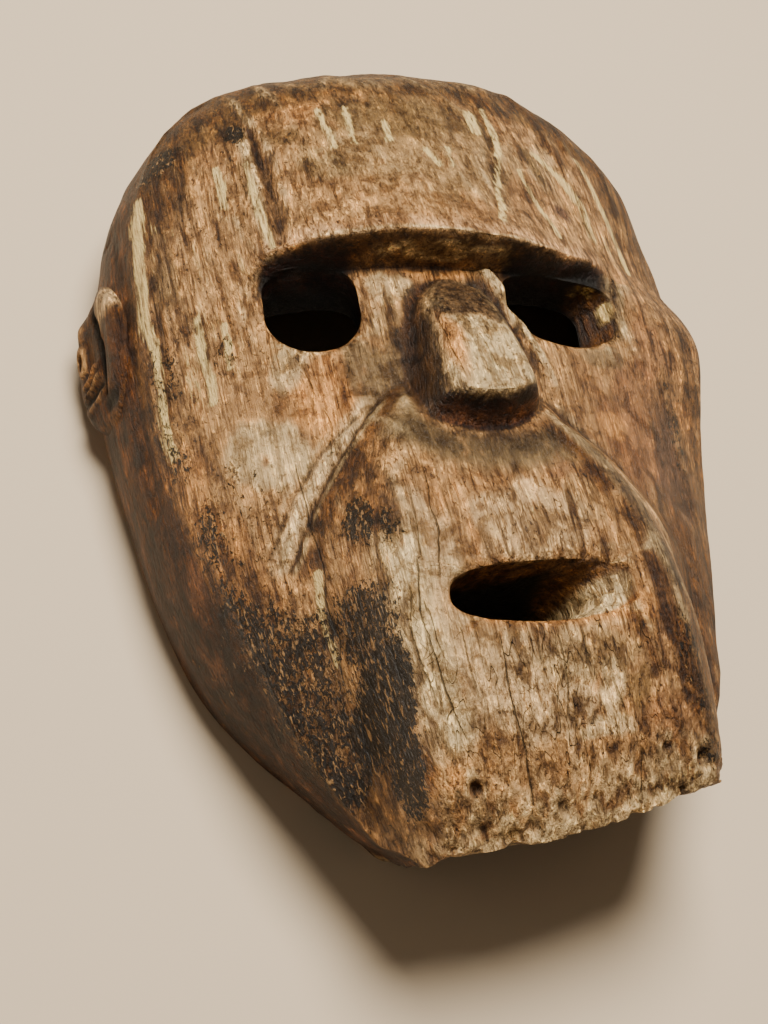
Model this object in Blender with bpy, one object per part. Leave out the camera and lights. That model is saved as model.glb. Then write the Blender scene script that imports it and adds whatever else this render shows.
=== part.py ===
"""A carved wooden face mask, lying on its open back with the face up.

X runs to the viewer's right, Y up the face from chin to forehead, and Z out of the face. The mask rests
on the flat edge around its open back, at Z = 0. All sizes are in millimetres until the mesh is written.
"""
import bpy
import numpy as np

MM = 0.001
# The middle of the finished mask's outline, in the sizes below
ORIGIN = (1.05, 7.93, 0.0)

# The mesh: cells across and up the front, rings of cells down the side wall, each an even number
CELLS_ACROSS = 40
CELLS_UP = 56
WALL_RINGS = 4
EAR_SEGMENTS = 20

# The outline at the shoulder, where the front turns over into the side wall
CHIN_Y = -115.5
CHIN_BOW = 3.0
CHIN_SLANT = 0.13
TEMPLE_Y = 119.0
CROWN_RISE = 14.5
HALF_WIDTH = ((-115.5, 38), (-100, 46), (-80, 55.5), (-53, 64.5), (-23, 72.5), (9, 78.2), (30, 81.3),
              (51, 81.5), (75, 79.7), (95, 75.3), (108, 68.5), (119, 59))
MIDDLE_X = ((-115.5, 4), (-60, 2.5), (30, 5), (75, 6.2), (95, 6.2), (119, 5.5))
# An oval of about the outline's size, for the direction outwards: half width, half height, middle
OVAL = (80.0, 128.0, 8.0)
# How far the bevel's corners are rounded between the sides and the crown
BEVEL_CORNER = 14.0
# Where the rows and columns of cells lie: rows meet the nose's base and the brow, columns its sides
ROW_HEIGHTS = ((0, CHIN_Y), (10 / 56, -71.5), (14 / 56, -55.3), (23 / 56, -14.2), (24 / 56, -10.2), (32 / 56, 24.5),
               (38 / 56, 42.0), (39 / 56, 43.6), (41 / 56, 47.4), (42 / 56, 49.4), (1, TEMPLE_Y))
BROW_ROWS = (38 / 56, 39 / 56, 42 / 56, 46 / 56)
COLUMN_PLACES = ((0, -1), (15 / 40, -0.236), (16 / 40, -0.168), (22 / 40, 0.092), (23 / 40, 0.159), (1, 1))

# The side wall, from the shoulder down to the resting edge
EDGE_OFFSET = ((-116, -5), (-80, -5), (-53, 0), (-23, 1.6), (9, 1.8), (30, 1.4), (60, 1.4), (119, 1))
EDGE_SHIFT_X = -5.0
EDGE_SHIFT_FROM_Y = (-90.0, -40.0)
WALL_BULGE = ((-116, 0.5), (-80, 2.5), (30, 3), (119, 2))
BULGE_SHIFT_X = -0.5
CHIN_TUCK = 20.0
TUCK_FROM_Y = -68.0
TUCK_FULL_Y = -129.5

# Forehead: a broad face that leans back, with a bevel over the top and a stepped brow
BROW_HEIGHT = 78.0
FOREHEAD_LEAN = 0.242
FOREHEAD_CROWN = 160.0
FOREHEAD_FLATTER = 0.4
FOREHEAD_HEIGHT = 60.0
TEMPLE_EDGE = 40.0
TEMPLE_SLOPE = (0.68, 0.54)
BEVEL_FOOT = 46.0
BEVEL_SLOPE = 0.8
BROW_Y = 46.6
BROW_SLANT = -0.06
BROW_ARCH = 0.0008
BROW_DEPTH_Y = 3.0
BROW_LIP_Y = 0.8
BROW_FADE_DOWN = 20.0
BROW_FADE_UP = 14.0
BROW_REACH = (46.0, 66.0)
BROW_CENTRE_X = 5.0

# Cheeks and jaw
CHEEK_HEIGHT = 64.0
LEFT_CROWN = ((-60, 0.0042), (0, 0.0046), (45, 0.0042))
RIGHT_CROWN = ((-80, 0.0040), (-50, 0.0051), (-20, 0.0050), (30, 0.0031), (60, 0.0031))
JAW_FALL = 0.25
JAW_FROM_Y = -35.0
SHOULDER_DROP = 2.5
SHOULDER_WIDTH = 4.0

# Muzzle: a raised block around the mouth, with steeper sides towards the chin
MUZZLE_TOP = ((-121, 55), (-110, 62.5), (-90, 70), (-72, 74), (-56, 75.5), (-30, 74.5), (-14, 72), (-4, 68.5),
              (2, 65), (10, 57), (30, 20))
MUZZLE_CROWN = 0.0016
MUZZLE_LEFT = ((-122, -35), (-87, -34), (-63, -34), (-30, -28), (-10, -19), (0, -17.5), (10, -12))
MUZZLE_RIGHT = ((-113, 42), (-93, 41.5), (-67, 41), (-45, 37), (-22, 29), (-8, 20), (0, 17.5), (10, 12))
MUZZLE_SIDE = ((-115, 4.0), (-80, 2.4), (-58, 1.8), (-40, 1.15), (-25, 1.05), (-10, 0.9))

# Nose: an upper and a lower face, two sides and an undercut base
NOSE_BRIDGE = (31.5, 68.0)
NOSE_BREAK = (14.0, 79.5)
NOSE_TIP = (-11.5, 83.5)
NOSE_HALF_WIDTH = ((-12, 11.8), (-5, 12.3), (3, 11.2), (15, 10.2), (33, 11.2))
NOSE_MIDDLE = ((-12, 0.5), (3, 0.9), (15, 0.6), (33, 1.6))
NOSE_SIDE = 4.0
NOSE_BASE = 3.6

# Openings: place and half size of each at the front, then at the back of the wall
LEFT_EYE = dict(front=(-33.0, 33.8, 12.6, 12.2), back=(-33.0, 34.5, 14.5, 12.5), top=5.0, bottom=2.1, tilt=-0.12)
RIGHT_EYE = dict(front=(38.3, 32.7, 19.4, 9.2), back=(34.5, 34.5, 15.0, 11.5), top=4.0, bottom=2.3, tilt=0.03)
MOUTH = dict(front=(2.2, -63.4, 25.2, 8.1), back=(-5.0, -63.6, 15.5, 6.4), top=3.4, bottom=3.0, tilt=0.0)
OPENING_REACH = 1.7

# The hollow behind
WALL_DEPTH = 13.0
RIM_WIDTH = 9.0
HOLLOW_SCALE = ((-116, 0.80), (-60, 0.86), (30, 0.885), (119, 0.90))

# Ears: flat carved ovals on the side walls, one with the mask
LEFT_EAR = dict(side=-1, centre=(45.5, 23.0), wall=((8, 83.4), (25, 82.2), (42, 79.4)))
RIGHT_EAR = dict(side=1, centre=(43.0, 15.0), wall=((4, 83.6), (21, 85.0), (38, 85.2)))
EAR_HALF_SIZE = (24.0, 13.0)
EAR_ROOT = 5.0
EAR_RELIEF = ((0.0, 5.4), (0.2, 5.0), (0.42, 3.0), (0.62, 3.4), (0.82, 6.0), (0.94, 5.2), (1.0, 4.0))

WOOD_COLOUR = (0.17, 0.11, 0.065, 1.0)
WOOD_ROUGHNESS = 0.6


def through(keys, place):
    """Smooth curve through a few (place, value) pairs, held level beyond both ends."""
    knots, values = np.array(keys, dtype=float).T
    slopes = np.gradient(values, knots)
    place = np.clip(place, knots[0], knots[-1])
    span = np.clip(np.searchsorted(knots, place, side="right") - 1, 0, len(knots) - 2)
    width = knots[span + 1] - knots[span]
    t = (place - knots[span]) / width
    start = (1 + 2 * t) * (1 - t) ** 2 * values[span] + t * (1 - t) ** 2 * width * slopes[span]
    end = t ** 2 * (3 - 2 * t) * values[span + 1] - t ** 2 * (1 - t) * width * slopes[span + 1]
    return start + end


def ramp(value, low, high):
    """0 below low, 1 above high, and an S-shaped rise between them."""
    t = np.clip((value - low) / (high - low), 0.0, 1.0)
    return t * t * (3 - 2 * t)


def soft_min(a, b, radius):
    """The lower of two heights, with the crease between them rounded over."""
    share = np.clip(0.5 + 0.5 * (b - a) / radius, 0.0, 1.0)
    return b + (a - b) * share - radius * share * (1 - share)


def soft_max(a, b, radius):
    """The higher of two heights, with the crease between them filled."""
    return -soft_min(-a, -b, radius)


def brow_line(x):
    """How far up the face the brow's edge lies."""
    return BROW_Y + BROW_SLANT * x + BROW_ARCH * x ** 2


def outline(across, up):
    """Plan of the front: rows of the mask's width, bowed over the crown and slanted along the chin."""
    lateral = through(COLUMN_PLACES, across)
    level = through(ROW_HEIGHTS, up)
    x = through(MIDDLE_X, level) + lateral * through(HALF_WIDTH, level)
    chin = (1 - up) ** 3 * (CHIN_SLANT * x - CHIN_BOW * (1 - lateral ** 2))
    crown = ramp(level, BROW_Y, TEMPLE_Y) * CROWN_RISE * (1 - lateral ** 2)
    brow = ramp(level, 0, BROW_Y) * ramp(-level, -TEMPLE_Y, -BROW_Y) * (brow_line(x) - BROW_Y)
    return np.stack([x, level + chin + crown + brow * (1 - lateral ** 2)], axis=-1)


def edge_distance(x, y):
    """About how far a point of the front lies inside the outline, at the sides and over the crown."""
    lateral = (x - through(MIDDLE_X, y)) / through(HALF_WIDTH, y)
    side = (1 - np.abs(lateral)) * through(HALF_WIDTH, y)
    over = np.clip((x - MIDDLE_X[-1][1]) / HALF_WIDTH[-1][1], -1.2, 1.2)
    crown = TEMPLE_Y + CROWN_RISE * (1 - over ** 2) - y
    return soft_min(side, crown, BEVEL_CORNER)


def forehead(x, y):
    """A crowned face leaning back, temples falling away at each side, bevelled towards the outline."""
    slope = np.where(x < 0, TEMPLE_SLOPE[0], TEMPLE_SLOPE[1])
    away = soft_max(x ** 2 / FOREHEAD_CROWN, TEMPLE_EDGE / 4 + slope * (np.abs(x) - TEMPLE_EDGE), 3.0)
    flatter = 1 - FOREHEAD_FLATTER * ramp(y, BROW_Y, BROW_Y + FOREHEAD_HEIGHT)
    face = BROW_HEIGHT - FOREHEAD_LEAN * (y - BROW_Y) - away * flatter
    bevel = BEVEL_FOOT + BEVEL_SLOPE * edge_distance(x, y)
    return soft_min(face, bevel, 3.0)


def cheeks(x, y):
    """The lower face as one crowned surface that falls away along the jaw."""
    crown = np.where(x < 0, through(LEFT_CROWN, y), through(RIGHT_CROWN, y))
    fall = JAW_FALL * soft_max(JAW_FROM_Y - y, np.zeros_like(y), 20.0)
    return CHEEK_HEIGHT - crown * x ** 2 - fall


def muzzle(x, y):
    """A block whose top follows the profile from nose to chin, with a sloping plane at each side."""
    top = through(MUZZLE_TOP, y) - MUZZLE_CROWN * x ** 2
    steep = through(MUZZLE_SIDE, y)
    outside = soft_max(through(MUZZLE_LEFT, y) - x, x - through(MUZZLE_RIGHT, y), 4.0)
    return top - steep * soft_max(outside, np.zeros_like(x), 5.0)


def nose(x, y):
    """Two faces that meet across the nose, cut by two side planes and a steep base."""
    upper = NOSE_BRIDGE[1] + (NOSE_BREAK[1] - NOSE_BRIDGE[1]) * (NOSE_BRIDGE[0] - y) / (NOSE_BRIDGE[0] - NOSE_BREAK[0])
    lower = NOSE_BREAK[1] + (NOSE_TIP[1] - NOSE_BREAK[1]) * (NOSE_BREAK[0] - y) / (NOSE_BREAK[0] - NOSE_TIP[0])
    ridge = soft_min(upper, lower, 1.5)
    beside = np.abs(x - through(NOSE_MIDDLE, y)) - through(NOSE_HALF_WIDTH, y)
    sides = ridge - NOSE_SIDE * soft_max(beside, np.zeros_like(x), 2.5)
    base = NOSE_TIP[1] + NOSE_BASE * (y - NOSE_TIP[0])
    return soft_min(sides, base, 4.5)


def front_height(x, y):
    """Height of the carved face over the resting edge."""
    lip = brow_line(x)
    fade = ramp(np.abs(x - BROW_CENTRE_X), *BROW_REACH)
    step = ramp(y, lip - BROW_DEPTH_Y - BROW_FADE_DOWN * fade, lip + BROW_LIP_Y + BROW_FADE_UP * fade)
    face = cheeks(x, y) * (1 - step) + forehead(x, y) * step
    face = soft_max(face, muzzle(x, y), 2.5)
    face = soft_max(face, nose(x, y), 1.2)
    inside = np.maximum(edge_distance(x, y), 0.0)
    return face - SHOULDER_DROP * np.exp(-inside / SHOULDER_WIDTH)


def hollow_height(x, y):
    """Height of the hollow's roof: the plain form of the face, one wall depth below it."""
    bevel = BEVEL_FOOT + BEVEL_SLOPE * edge_distance(x, y)
    return soft_min(cheeks(x, y), bevel, 6.0) - WALL_DEPTH


def outward(plan):
    """Direction away from the middle of the mask, square to its outline."""
    half_width, half_height, middle = OVAL
    away = np.stack([plan[..., 0] / half_width ** 2, (plan[..., 1] - middle) / half_height ** 2], axis=-1)
    return away / np.maximum(np.linalg.norm(away, axis=-1, keepdims=True), 1e-9)


def open_window(plan, across, up, window, opening, side, shape):
    """Draw the grid lines around a window of cells onto the rounded outline of an opening.

    The window's edge goes onto a superellipse, square above and round below, and the cells around it
    follow by a share that fades with their distance from the window.
    """
    low_a, high_a, low_b, high_b = window
    middle = (low_a + high_a) / 2, (low_b + high_b) / 2
    half = (high_a - low_a) / 2, (high_b - low_b) / 2
    alpha = (across - middle[0]) / half[0]
    beta = (up - middle[1]) / half[1]
    reach = np.maximum(np.maximum(np.abs(alpha), np.abs(beta)), 1e-6)
    edge_a = alpha / reach
    edge_b = beta / reach
    before = shape(middle[0] + half[0] * edge_a, middle[1] + half[1] * edge_b)
    power = opening["bottom"] + (opening["top"] - opening["bottom"]) * ramp(edge_b, -0.3, 0.6)
    size = np.maximum(np.abs(edge_a) ** power + np.abs(edge_b) ** power, 1e-6) ** (1 / power)
    x, y, half_x, half_y = opening[side]
    aside = half_x * edge_a / size
    after = np.stack([x + aside, y + opening["tilt"] * aside + half_y * edge_b / size], axis=-1)
    share = 1 - ramp(reach, 1.0, OPENING_REACH)
    return plan + share[..., None] * (after - before)


def even(number):
    """The nearest even whole number."""
    return 2 * int(round(number / 2))


def find_windows():
    """The blocks of grid cells that each opening takes out, as shares of the front."""
    shares = (((8 / 40, 14 / 40, 32 / 56, 38 / 56), LEFT_EYE), ((24 / 40, 34 / 40, 32 / 56, 38 / 56), RIGHT_EYE),
              ((12 / 40, 28 / 40, 10 / 56, 14 / 56), MOUTH))
    windows = []
    for (left, right, low, high), opening in shares:
        cells = (even(left * CELLS_ACROSS), even(right * CELLS_ACROSS), even(low * CELLS_UP), even(high * CELLS_UP))
        windows.append((cells, opening))
    return windows


def grid_places(columns, rows):
    """Share across, share up and depth down the side wall of each grid point."""
    i, j = np.meshgrid(columns, rows, indexing="ij")
    last_i = CELLS_ACROSS + 2 * WALL_RINGS
    last_j = CELLS_UP + 2 * WALL_RINGS
    ring = np.minimum(np.minimum(i, last_i - i), np.minimum(j, last_j - j))
    ring = np.minimum(ring, WALL_RINGS)
    across = (i - ring) / (last_i - 2 * ring)
    up = (j - ring) / (last_j - 2 * ring)
    return across, up, (WALL_RINGS - ring) / WALL_RINGS


def hollow_plan(across, up):
    """Plan of the hollow: the outline drawn in by the thickness of the wall."""
    plan = outline(across, up)
    return plan * through(HOLLOW_SCALE, plan[..., 1])[..., None]


def bend_windows(plan, across, up, side, shape):
    """The plan with the grid drawn around every opening."""
    for (low_i, high_i, low_j, high_j), opening in find_windows():
        window = (low_i / CELLS_ACROSS, high_i / CELLS_ACROSS, low_j / CELLS_UP, high_j / CELLS_UP)
        plan = open_window(plan, across, up, window, opening, side, shape)
    return plan


def resting_edge(plan):
    """The outer line of the resting edge below each point of the shoulder."""
    y = plan[..., 1]
    tuck = CHIN_TUCK * ramp(-y, -TUCK_FROM_Y, -TUCK_FULL_Y)
    offset = through(EDGE_OFFSET, y) + EDGE_SHIFT_X * plan[..., 0] / OVAL[0] * ramp(y, *EDGE_SHIFT_FROM_Y)
    edge = plan + outward(plan) * offset[..., None]
    edge[..., 1] += tuck
    return edge


def follow_brow(plan, up):
    """Lay the rows over the eyes along the brow's edge again, where the openings have bent them."""
    low, first, last, high = BROW_ROWS
    share = ramp(up, low, first) * (1 - ramp(up, last, high))
    along = brow_line(plan[..., 0]) + through(ROW_HEIGHTS, up) - BROW_Y
    plan[..., 1] += share * (along - plan[..., 1])
    return plan


def outer_surface(across, up, depth):
    """Front and side wall: the carved height over the plan, then down the wall to the resting edge."""
    plan = bend_windows(outline(across, up), across, up, "front", outline)
    plan = follow_brow(plan, up)
    height = front_height(plan[..., 0], plan[..., 1])
    lean = 1 + BULGE_SHIFT_X * np.clip(plan[..., 0] / OVAL[0], -1, 1)
    bulge = through(WALL_BULGE, plan[..., 1]) * lean * np.sin(np.pi * depth)
    wall = plan + (resting_edge(plan) - plan) * depth[..., None] + outward(plan) * bulge[..., None]
    return np.concatenate([wall, (height * (1 - depth))[..., None]], axis=-1)


def inner_surface(across, up, depth):
    """The hollow: its roof under the face, then down the inside of the wall to the resting edge."""
    plan = bend_windows(hollow_plan(across, up), across, up, "back", hollow_plan)
    height = hollow_height(plan[..., 0], plan[..., 1])
    edge = resting_edge(outline(across, up))
    edge = edge - outward(edge) * RIM_WIDTH
    wall = plan + (edge - plan) * depth[..., None]
    return np.concatenate([wall, (height * (1 - depth))[..., None]], axis=-1)


def perimeter(low_i, high_i, low_j, high_j, step=1):
    """Grid points around a block of cells, anticlockwise seen from the front."""
    bottom = [(i, low_j) for i in range(low_i, high_i, step)]
    right = [(high_i, j) for j in range(low_j, high_j, step)]
    top = [(i, high_j) for i in range(high_i, low_i, -step)]
    left = [(low_i, j) for j in range(high_j, low_j, -step)]
    return bottom + right + top + left


def grid_faces(number, windows, flip):
    """Faces of a grid of numbered points, leaving the windows out, with each mitred cell cut in two.

    A cell on the line from a corner of the outline down the wall has three of its points along the
    outline, so it is cut from the corner inwards.
    """
    faces = []
    last_i = number.shape[0] - 1
    last_j = number.shape[1] - 1
    for i in range(last_i):
        for j in range(last_j):
            if any(a <= i < b and c <= j < d for a, b, c, d in windows):
                continue
            ring_i = min(i, last_i - 1 - i)
            mitred = ring_i == min(j, last_j - 1 - j)
            corners = [number[i, j], number[i + 1, j], number[i + 1, j + 1], number[i, j + 1]]
            if mitred and (i < last_i / 2) != (j < last_j / 2):
                corners = corners[1:] + corners[:1]
            cell = [(corners[0], corners[1], corners[2]), (corners[0], corners[2], corners[3])] if mitred else [corners]
            faces += [face[::-1] if flip else face for face in cell]
    return faces


def join_loops(fine, coarse, flip):
    """Triangles between a loop of points and one of half as many."""
    faces = []
    count = len(coarse)
    for k in range(count):
        first, middle, last = fine[2 * k], fine[2 * k + 1], fine[(2 * k + 2) % len(fine)]
        near, far = coarse[k], coarse[(k + 1) % count]
        for face in ((first, middle, near), (middle, far, near), (middle, last, far)):
            faces.append(face[::-1] if flip else face)
    return faces


def mask_mesh():
    """The mask without its ears: outer and inner surface joined around the rim and each opening."""
    last_i = CELLS_ACROSS + 2 * WALL_RINGS
    last_j = CELLS_UP + 2 * WALL_RINGS
    outer = outer_surface(*grid_places(np.arange(last_i + 1), np.arange(last_j + 1)))
    inner = inner_surface(*grid_places(np.arange(0, last_i + 1, 2), np.arange(0, last_j + 1, 2)))
    outer_number = np.arange(outer[..., 0].size).reshape(outer.shape[:2])
    inner_number = outer_number.size + np.arange(inner[..., 0].size).reshape(inner.shape[:2])
    windows = [tuple(edge + WALL_RINGS for edge in cells) for cells, opening in find_windows()]
    faces = grid_faces(outer_number, windows, False)
    faces += grid_faces(inner_number, [tuple(edge // 2 for edge in window) for window in windows], True)
    for block, is_rim in [((0, last_i, 0, last_j), True)] + [(window, False) for window in windows]:
        fine = [outer_number[p] for p in perimeter(*block)]
        coarse = [inner_number[i // 2, j // 2] for i, j in perimeter(*block, step=2)]
        faces += join_loops(fine, coarse, is_rim)
    points = np.concatenate([outer.reshape(-1, 3), inner.reshape(-1, 3)])
    used = sorted({int(point) for face in faces for point in face})
    renumber = {point: place for place, point in enumerate(used)}
    return points[used], [[renumber[int(point)] for point in face] for face in faces]


def ear_mesh(ear):
    """A carved oval: a raised rim around a hollow with a knob in it, rooted in the side wall."""
    side = ear["side"]
    middle_y, middle_z = ear["centre"]
    turn = np.arange(EAR_SEGMENTS) * 2 * np.pi / EAR_SEGMENTS
    rings = []
    for share, proud in EAR_RELIEF[1:]:
        y = middle_y + EAR_HALF_SIZE[0] * share * np.cos(turn)
        z = middle_z + EAR_HALF_SIZE[1] * share * np.sin(turn)
        rings.append(np.stack([side * (through(ear["wall"], z) + proud), y, z], axis=-1))
    root = rings[-1].copy()
    root[:, 0] = side * (through(ear["wall"], root[:, 2]) - EAR_ROOT)
    rings.append(root)
    wall = through(ear["wall"], np.array(middle_z))
    tip = np.array([[side * (wall + EAR_RELIEF[0][1]), middle_y, middle_z]])
    back = np.array([[side * (wall - EAR_ROOT), middle_y, middle_z]])
    points = np.concatenate([tip] + rings + [back])
    faces = []
    for k in range(EAR_SEGMENTS):
        after = (k + 1) % EAR_SEGMENTS
        faces.append((0, 1 + k, 1 + after))
        for ring in range(len(rings) - 1):
            low = 1 + ring * EAR_SEGMENTS
            high = low + EAR_SEGMENTS
            faces.append((low + k, high + k, high + after, low + after))
        low = 1 + (len(rings) - 1) * EAR_SEGMENTS
        faces.append((low + k, len(points) - 1, low + after))
    return points, [face if side > 0 else face[::-1] for face in faces]


def make_object(name, points, faces, material):
    """A mesh object from points in millimetres, moved to the origin under the mask's middle."""
    mesh = bpy.data.meshes.new(name)
    mesh.from_pydata(((points - ORIGIN) * MM).tolist(), [], faces)
    mesh.materials.append(material)
    made = bpy.data.objects.new(name, mesh)
    bpy.context.collection.objects.link(made)
    return made


def wood_material():
    """Dark, worn hardwood."""
    material = bpy.data.materials.new("aged wood")
    material.use_nodes = True
    shader = material.node_tree.nodes["Principled BSDF"]
    shader.inputs["Base Color"].default_value = WOOD_COLOUR
    shader.inputs["Roughness"].default_value = WOOD_ROUGHNESS
    return material


def main():
    for item in list(bpy.data.objects):
        bpy.data.objects.remove(item)
    wood = wood_material()
    points, faces = mask_mesh()
    mask = make_object("mask", points, faces, wood)
    for name, shape in (("left_ear_shape", LEFT_EAR), ("right_ear_shape", RIGHT_EAR)):
        ear = make_object(name, *ear_mesh(shape), wood)
        ear.hide_render = True
        ear.display_type = "WIRE"
        joined = mask.modifiers.new(name, "BOOLEAN")
        joined.operation = "UNION"
        joined.solver = "EXACT"
        joined.object = ear


main()
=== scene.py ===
"""A weathered wooden face mask, lying on its open back with the face up.

Shapes are worked out in millimetres: X to the viewer's right, Y up the face from chin to forehead and
Z out of the face. The mask's flat edge lies at Z = 0. Finished meshes are in metres.
"""

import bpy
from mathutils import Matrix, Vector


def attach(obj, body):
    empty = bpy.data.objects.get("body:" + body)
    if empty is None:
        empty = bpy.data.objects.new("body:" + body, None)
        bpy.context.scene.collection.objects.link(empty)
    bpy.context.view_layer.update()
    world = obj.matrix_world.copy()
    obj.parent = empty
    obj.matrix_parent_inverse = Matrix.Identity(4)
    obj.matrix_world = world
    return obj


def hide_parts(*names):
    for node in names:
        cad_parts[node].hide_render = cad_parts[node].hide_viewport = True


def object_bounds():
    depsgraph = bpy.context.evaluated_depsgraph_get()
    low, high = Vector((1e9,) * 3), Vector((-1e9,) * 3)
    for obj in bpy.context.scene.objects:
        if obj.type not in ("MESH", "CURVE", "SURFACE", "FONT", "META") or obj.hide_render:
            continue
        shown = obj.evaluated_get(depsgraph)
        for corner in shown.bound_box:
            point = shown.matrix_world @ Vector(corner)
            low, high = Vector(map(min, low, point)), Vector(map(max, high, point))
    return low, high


bl_info = {
    "name": "Carved Face Mask",
    "version": (1, 0, 0),
    "blender": (4, 5, 0),
    "location": "View3D > Sidebar > Mask",
    "description": "Builds a weathered wooden face mask with carved ears, and a plain stage for it",
    "category": "Add Mesh",
}

import bpy
import numpy as np
from mathutils import Matrix

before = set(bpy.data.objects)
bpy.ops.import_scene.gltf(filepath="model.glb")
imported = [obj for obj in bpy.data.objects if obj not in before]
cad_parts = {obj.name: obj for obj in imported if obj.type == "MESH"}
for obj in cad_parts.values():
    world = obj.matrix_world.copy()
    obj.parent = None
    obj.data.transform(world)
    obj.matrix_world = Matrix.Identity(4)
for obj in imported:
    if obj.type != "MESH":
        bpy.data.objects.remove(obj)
CAD_LOW, CAD_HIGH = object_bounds()

MM = 0.001
# The middle of the mask's outline, in the sizes below
MIDDLE = (1.05, 7.93, 0.0)

# The outline at the shoulder, where the front turns over into the side wall
CHIN_Y = -115.5
CHIN_BOW = 3.0
CHIN_SLANT = 0.13
TEMPLE_Y = 119.0
CROWN_RISE = 14.5
HALF_WIDTH = ((-115.5, 38), (-100, 46), (-80, 55.5), (-53, 64.5), (-23, 72.5), (9, 78.2), (30, 81.3),
              (51, 81.5), (75, 79.7), (95, 75.3), (108, 68.5), (119, 59))
MIDDLE_X = ((-115.5, 4), (-60, 2.5), (30, 5), (75, 6.2), (95, 6.2), (119, 5.5))
# An oval of about the outline's size, for the direction outwards: half width, half height, middle
OVAL = (80.0, 128.0, 8.0)
# How far the bevel's corners are rounded between the sides and the crown
BEVEL_CORNER = 14.0
# Where the rows and columns of cells lie: rows meet the nose's base and the brow, columns its sides
ROW_HEIGHTS = ((0, CHIN_Y), (10 / 56, -71.5), (14 / 56, -55.3), (23 / 56, -14.2), (24 / 56, -10.2),
               (32 / 56, 24.5), (38 / 56, 42.0), (39 / 56, 43.6), (41 / 56, 47.4), (42 / 56, 49.4),
               (1, TEMPLE_Y))
BROW_ROWS = (38 / 56, 39 / 56, 42 / 56, 46 / 56)
COLUMN_PLACES = ((0, -1), (15 / 40, -0.236), (16 / 40, -0.168), (22 / 40, 0.092), (23 / 40, 0.159), (1, 1))

# The side wall, from the shoulder down to the resting edge
EDGE_OFFSET = ((-116, -5), (-80, -5), (-53, 0), (-23, 1.6), (9, 1.8), (30, 1.4), (60, 1.4), (119, 1))
EDGE_SHIFT_X = -5.0
EDGE_SHIFT_FROM_Y = (-90.0, -40.0)
WALL_BULGE = ((-116, 0.5), (-80, 2.5), (30, 3), (119, 2))
BULGE_SHIFT_X = -0.5
CHIN_TUCK = 20.0
TUCK_FROM_Y = -68.0
TUCK_FULL_Y = -129.5
# The right side swells beside the ear and along the jaw: how far up the face, and where it begins
SWELL = ((-125, 0.8), (-100, 1.8), (-60, 2.0), (-20, 1.6), (10, 1.8), (34, 2.6), (56, 2.6), (76, 1.2),
         (100, 0.0))
SWELL_FROM = 0.65

# Forehead: a broad face that leans back, with a bevel over the top and a stepped brow
BROW_HEIGHT = 78.0
FOREHEAD_LEAN = 0.242
FOREHEAD_CROWN = 160.0
FOREHEAD_FLATTER = 0.4
FOREHEAD_HEIGHT = 60.0
TEMPLE_EDGE = 40.0
TEMPLE_SLOPE = (0.68, 0.54)
BEVEL_FOOT = 46.0
BEVEL_SLOPE = 0.8
CROWN_LIFT = 3.0
BROW_Y = 46.6
BROW_MIDDLE_Y = 45.5
BROW_ROW_SQUEEZE = 0.4
BROW_SLANT = -0.06
BROW_ARCH = 0.0008
# How far up the face the foot and the edge of the brow's step lie, and where it dies out at each side
BROW_FOOT = ((-50, 47.0), (-33, 46.0), (-21, 44.9), (-7, 44.2), (1, 43.7), (10, 43.0), (20, 42.5), (34, 42.6),
             (52, 45.0))
BROW_EDGE = ((-45, 50.6), (-33, 49.6), (-25, 48.2), (-10, 47.2), (3, 45.8), (17, 44.5), (34, 45.0),
             (51, 48.5))
BROW_LEFT_END = (43.0, 52.0)
BROW_RIGHT_END = (50.0, 66.0)
BROW_FADE_DOWN = 16.0
BROW_FADE_UP = 12.0

# Cheeks and jaw
CHEEK_HEIGHT = 64.0
LEFT_CROWN = ((-60, 0.0042), (0, 0.0046), (45, 0.0042))
RIGHT_CROWN = ((-80, 0.0040), (-50, 0.0051), (-20, 0.0050), (30, 0.0031), (60, 0.0031))
JAW_FALL = 0.25
JAW_FROM_Y = -35.0
SHOULDER_DROP = 2.5
SHOULDER_WIDTH = 4.0

# Muzzle: a raised block around the mouth, with steeper sides towards the chin
MUZZLE_TOP = ((-121, 55), (-110, 62.5), (-90, 70), (-72, 74), (-56, 75.5), (-30, 74.5), (-14, 72), (-4, 68.5),
              (2, 65), (10, 57), (30, 20))
MUZZLE_CROWN = 0.0016
MUZZLE_LEFT = ((-122, -35), (-87, -34), (-63, -34), (-30, -29.5), (-10, -22.5), (0, -20), (10, -14))
MUZZLE_RIGHT = ((-113, 42), (-93, 41.5), (-67, 41), (-45, 37), (-22, 29), (-8, 20), (0, 17.5), (10, 12))
MUZZLE_SIDE = ((-115, 4.0), (-80, 2.4), (-58, 1.8), (-40, 1.15), (-25, 1.05), (-10, 0.9))

# Nose: an upper and a lower face, two sides and an undercut base
NOSE_BRIDGE = (37.0, 66.5)
NOSE_BREAK = (16.5, 78.3)
NOSE_TIP = (-11.5, 83.5)
NOSE_HALF_WIDTH = ((-12, 11.6), (-5, 13.2), (3, 12.4), (15, 11.4), (26, 11.0), (33, 9.4), (39, 5.5))
NOSE_MIDDLE = ((-12, 1.8), (3, 2.8), (15, 3.2), (33, 3.4))
NOSE_SIDE = 4.4
NOSE_BASE = 4.2
NOSE_CROWN = 0.006
NOSE_BOW = 0.03
# The ridge from the brow down between the nose and the right eye
BRIDGE_LINE = ((16.5, 41.0), (19.0, 36.0), (22.0, 25.0), (26.0, 14.0), (28.5, 4.0))
BRIDGE_RIDGE = 2.6
BRIDGE_WIDTH = 2.0

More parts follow.
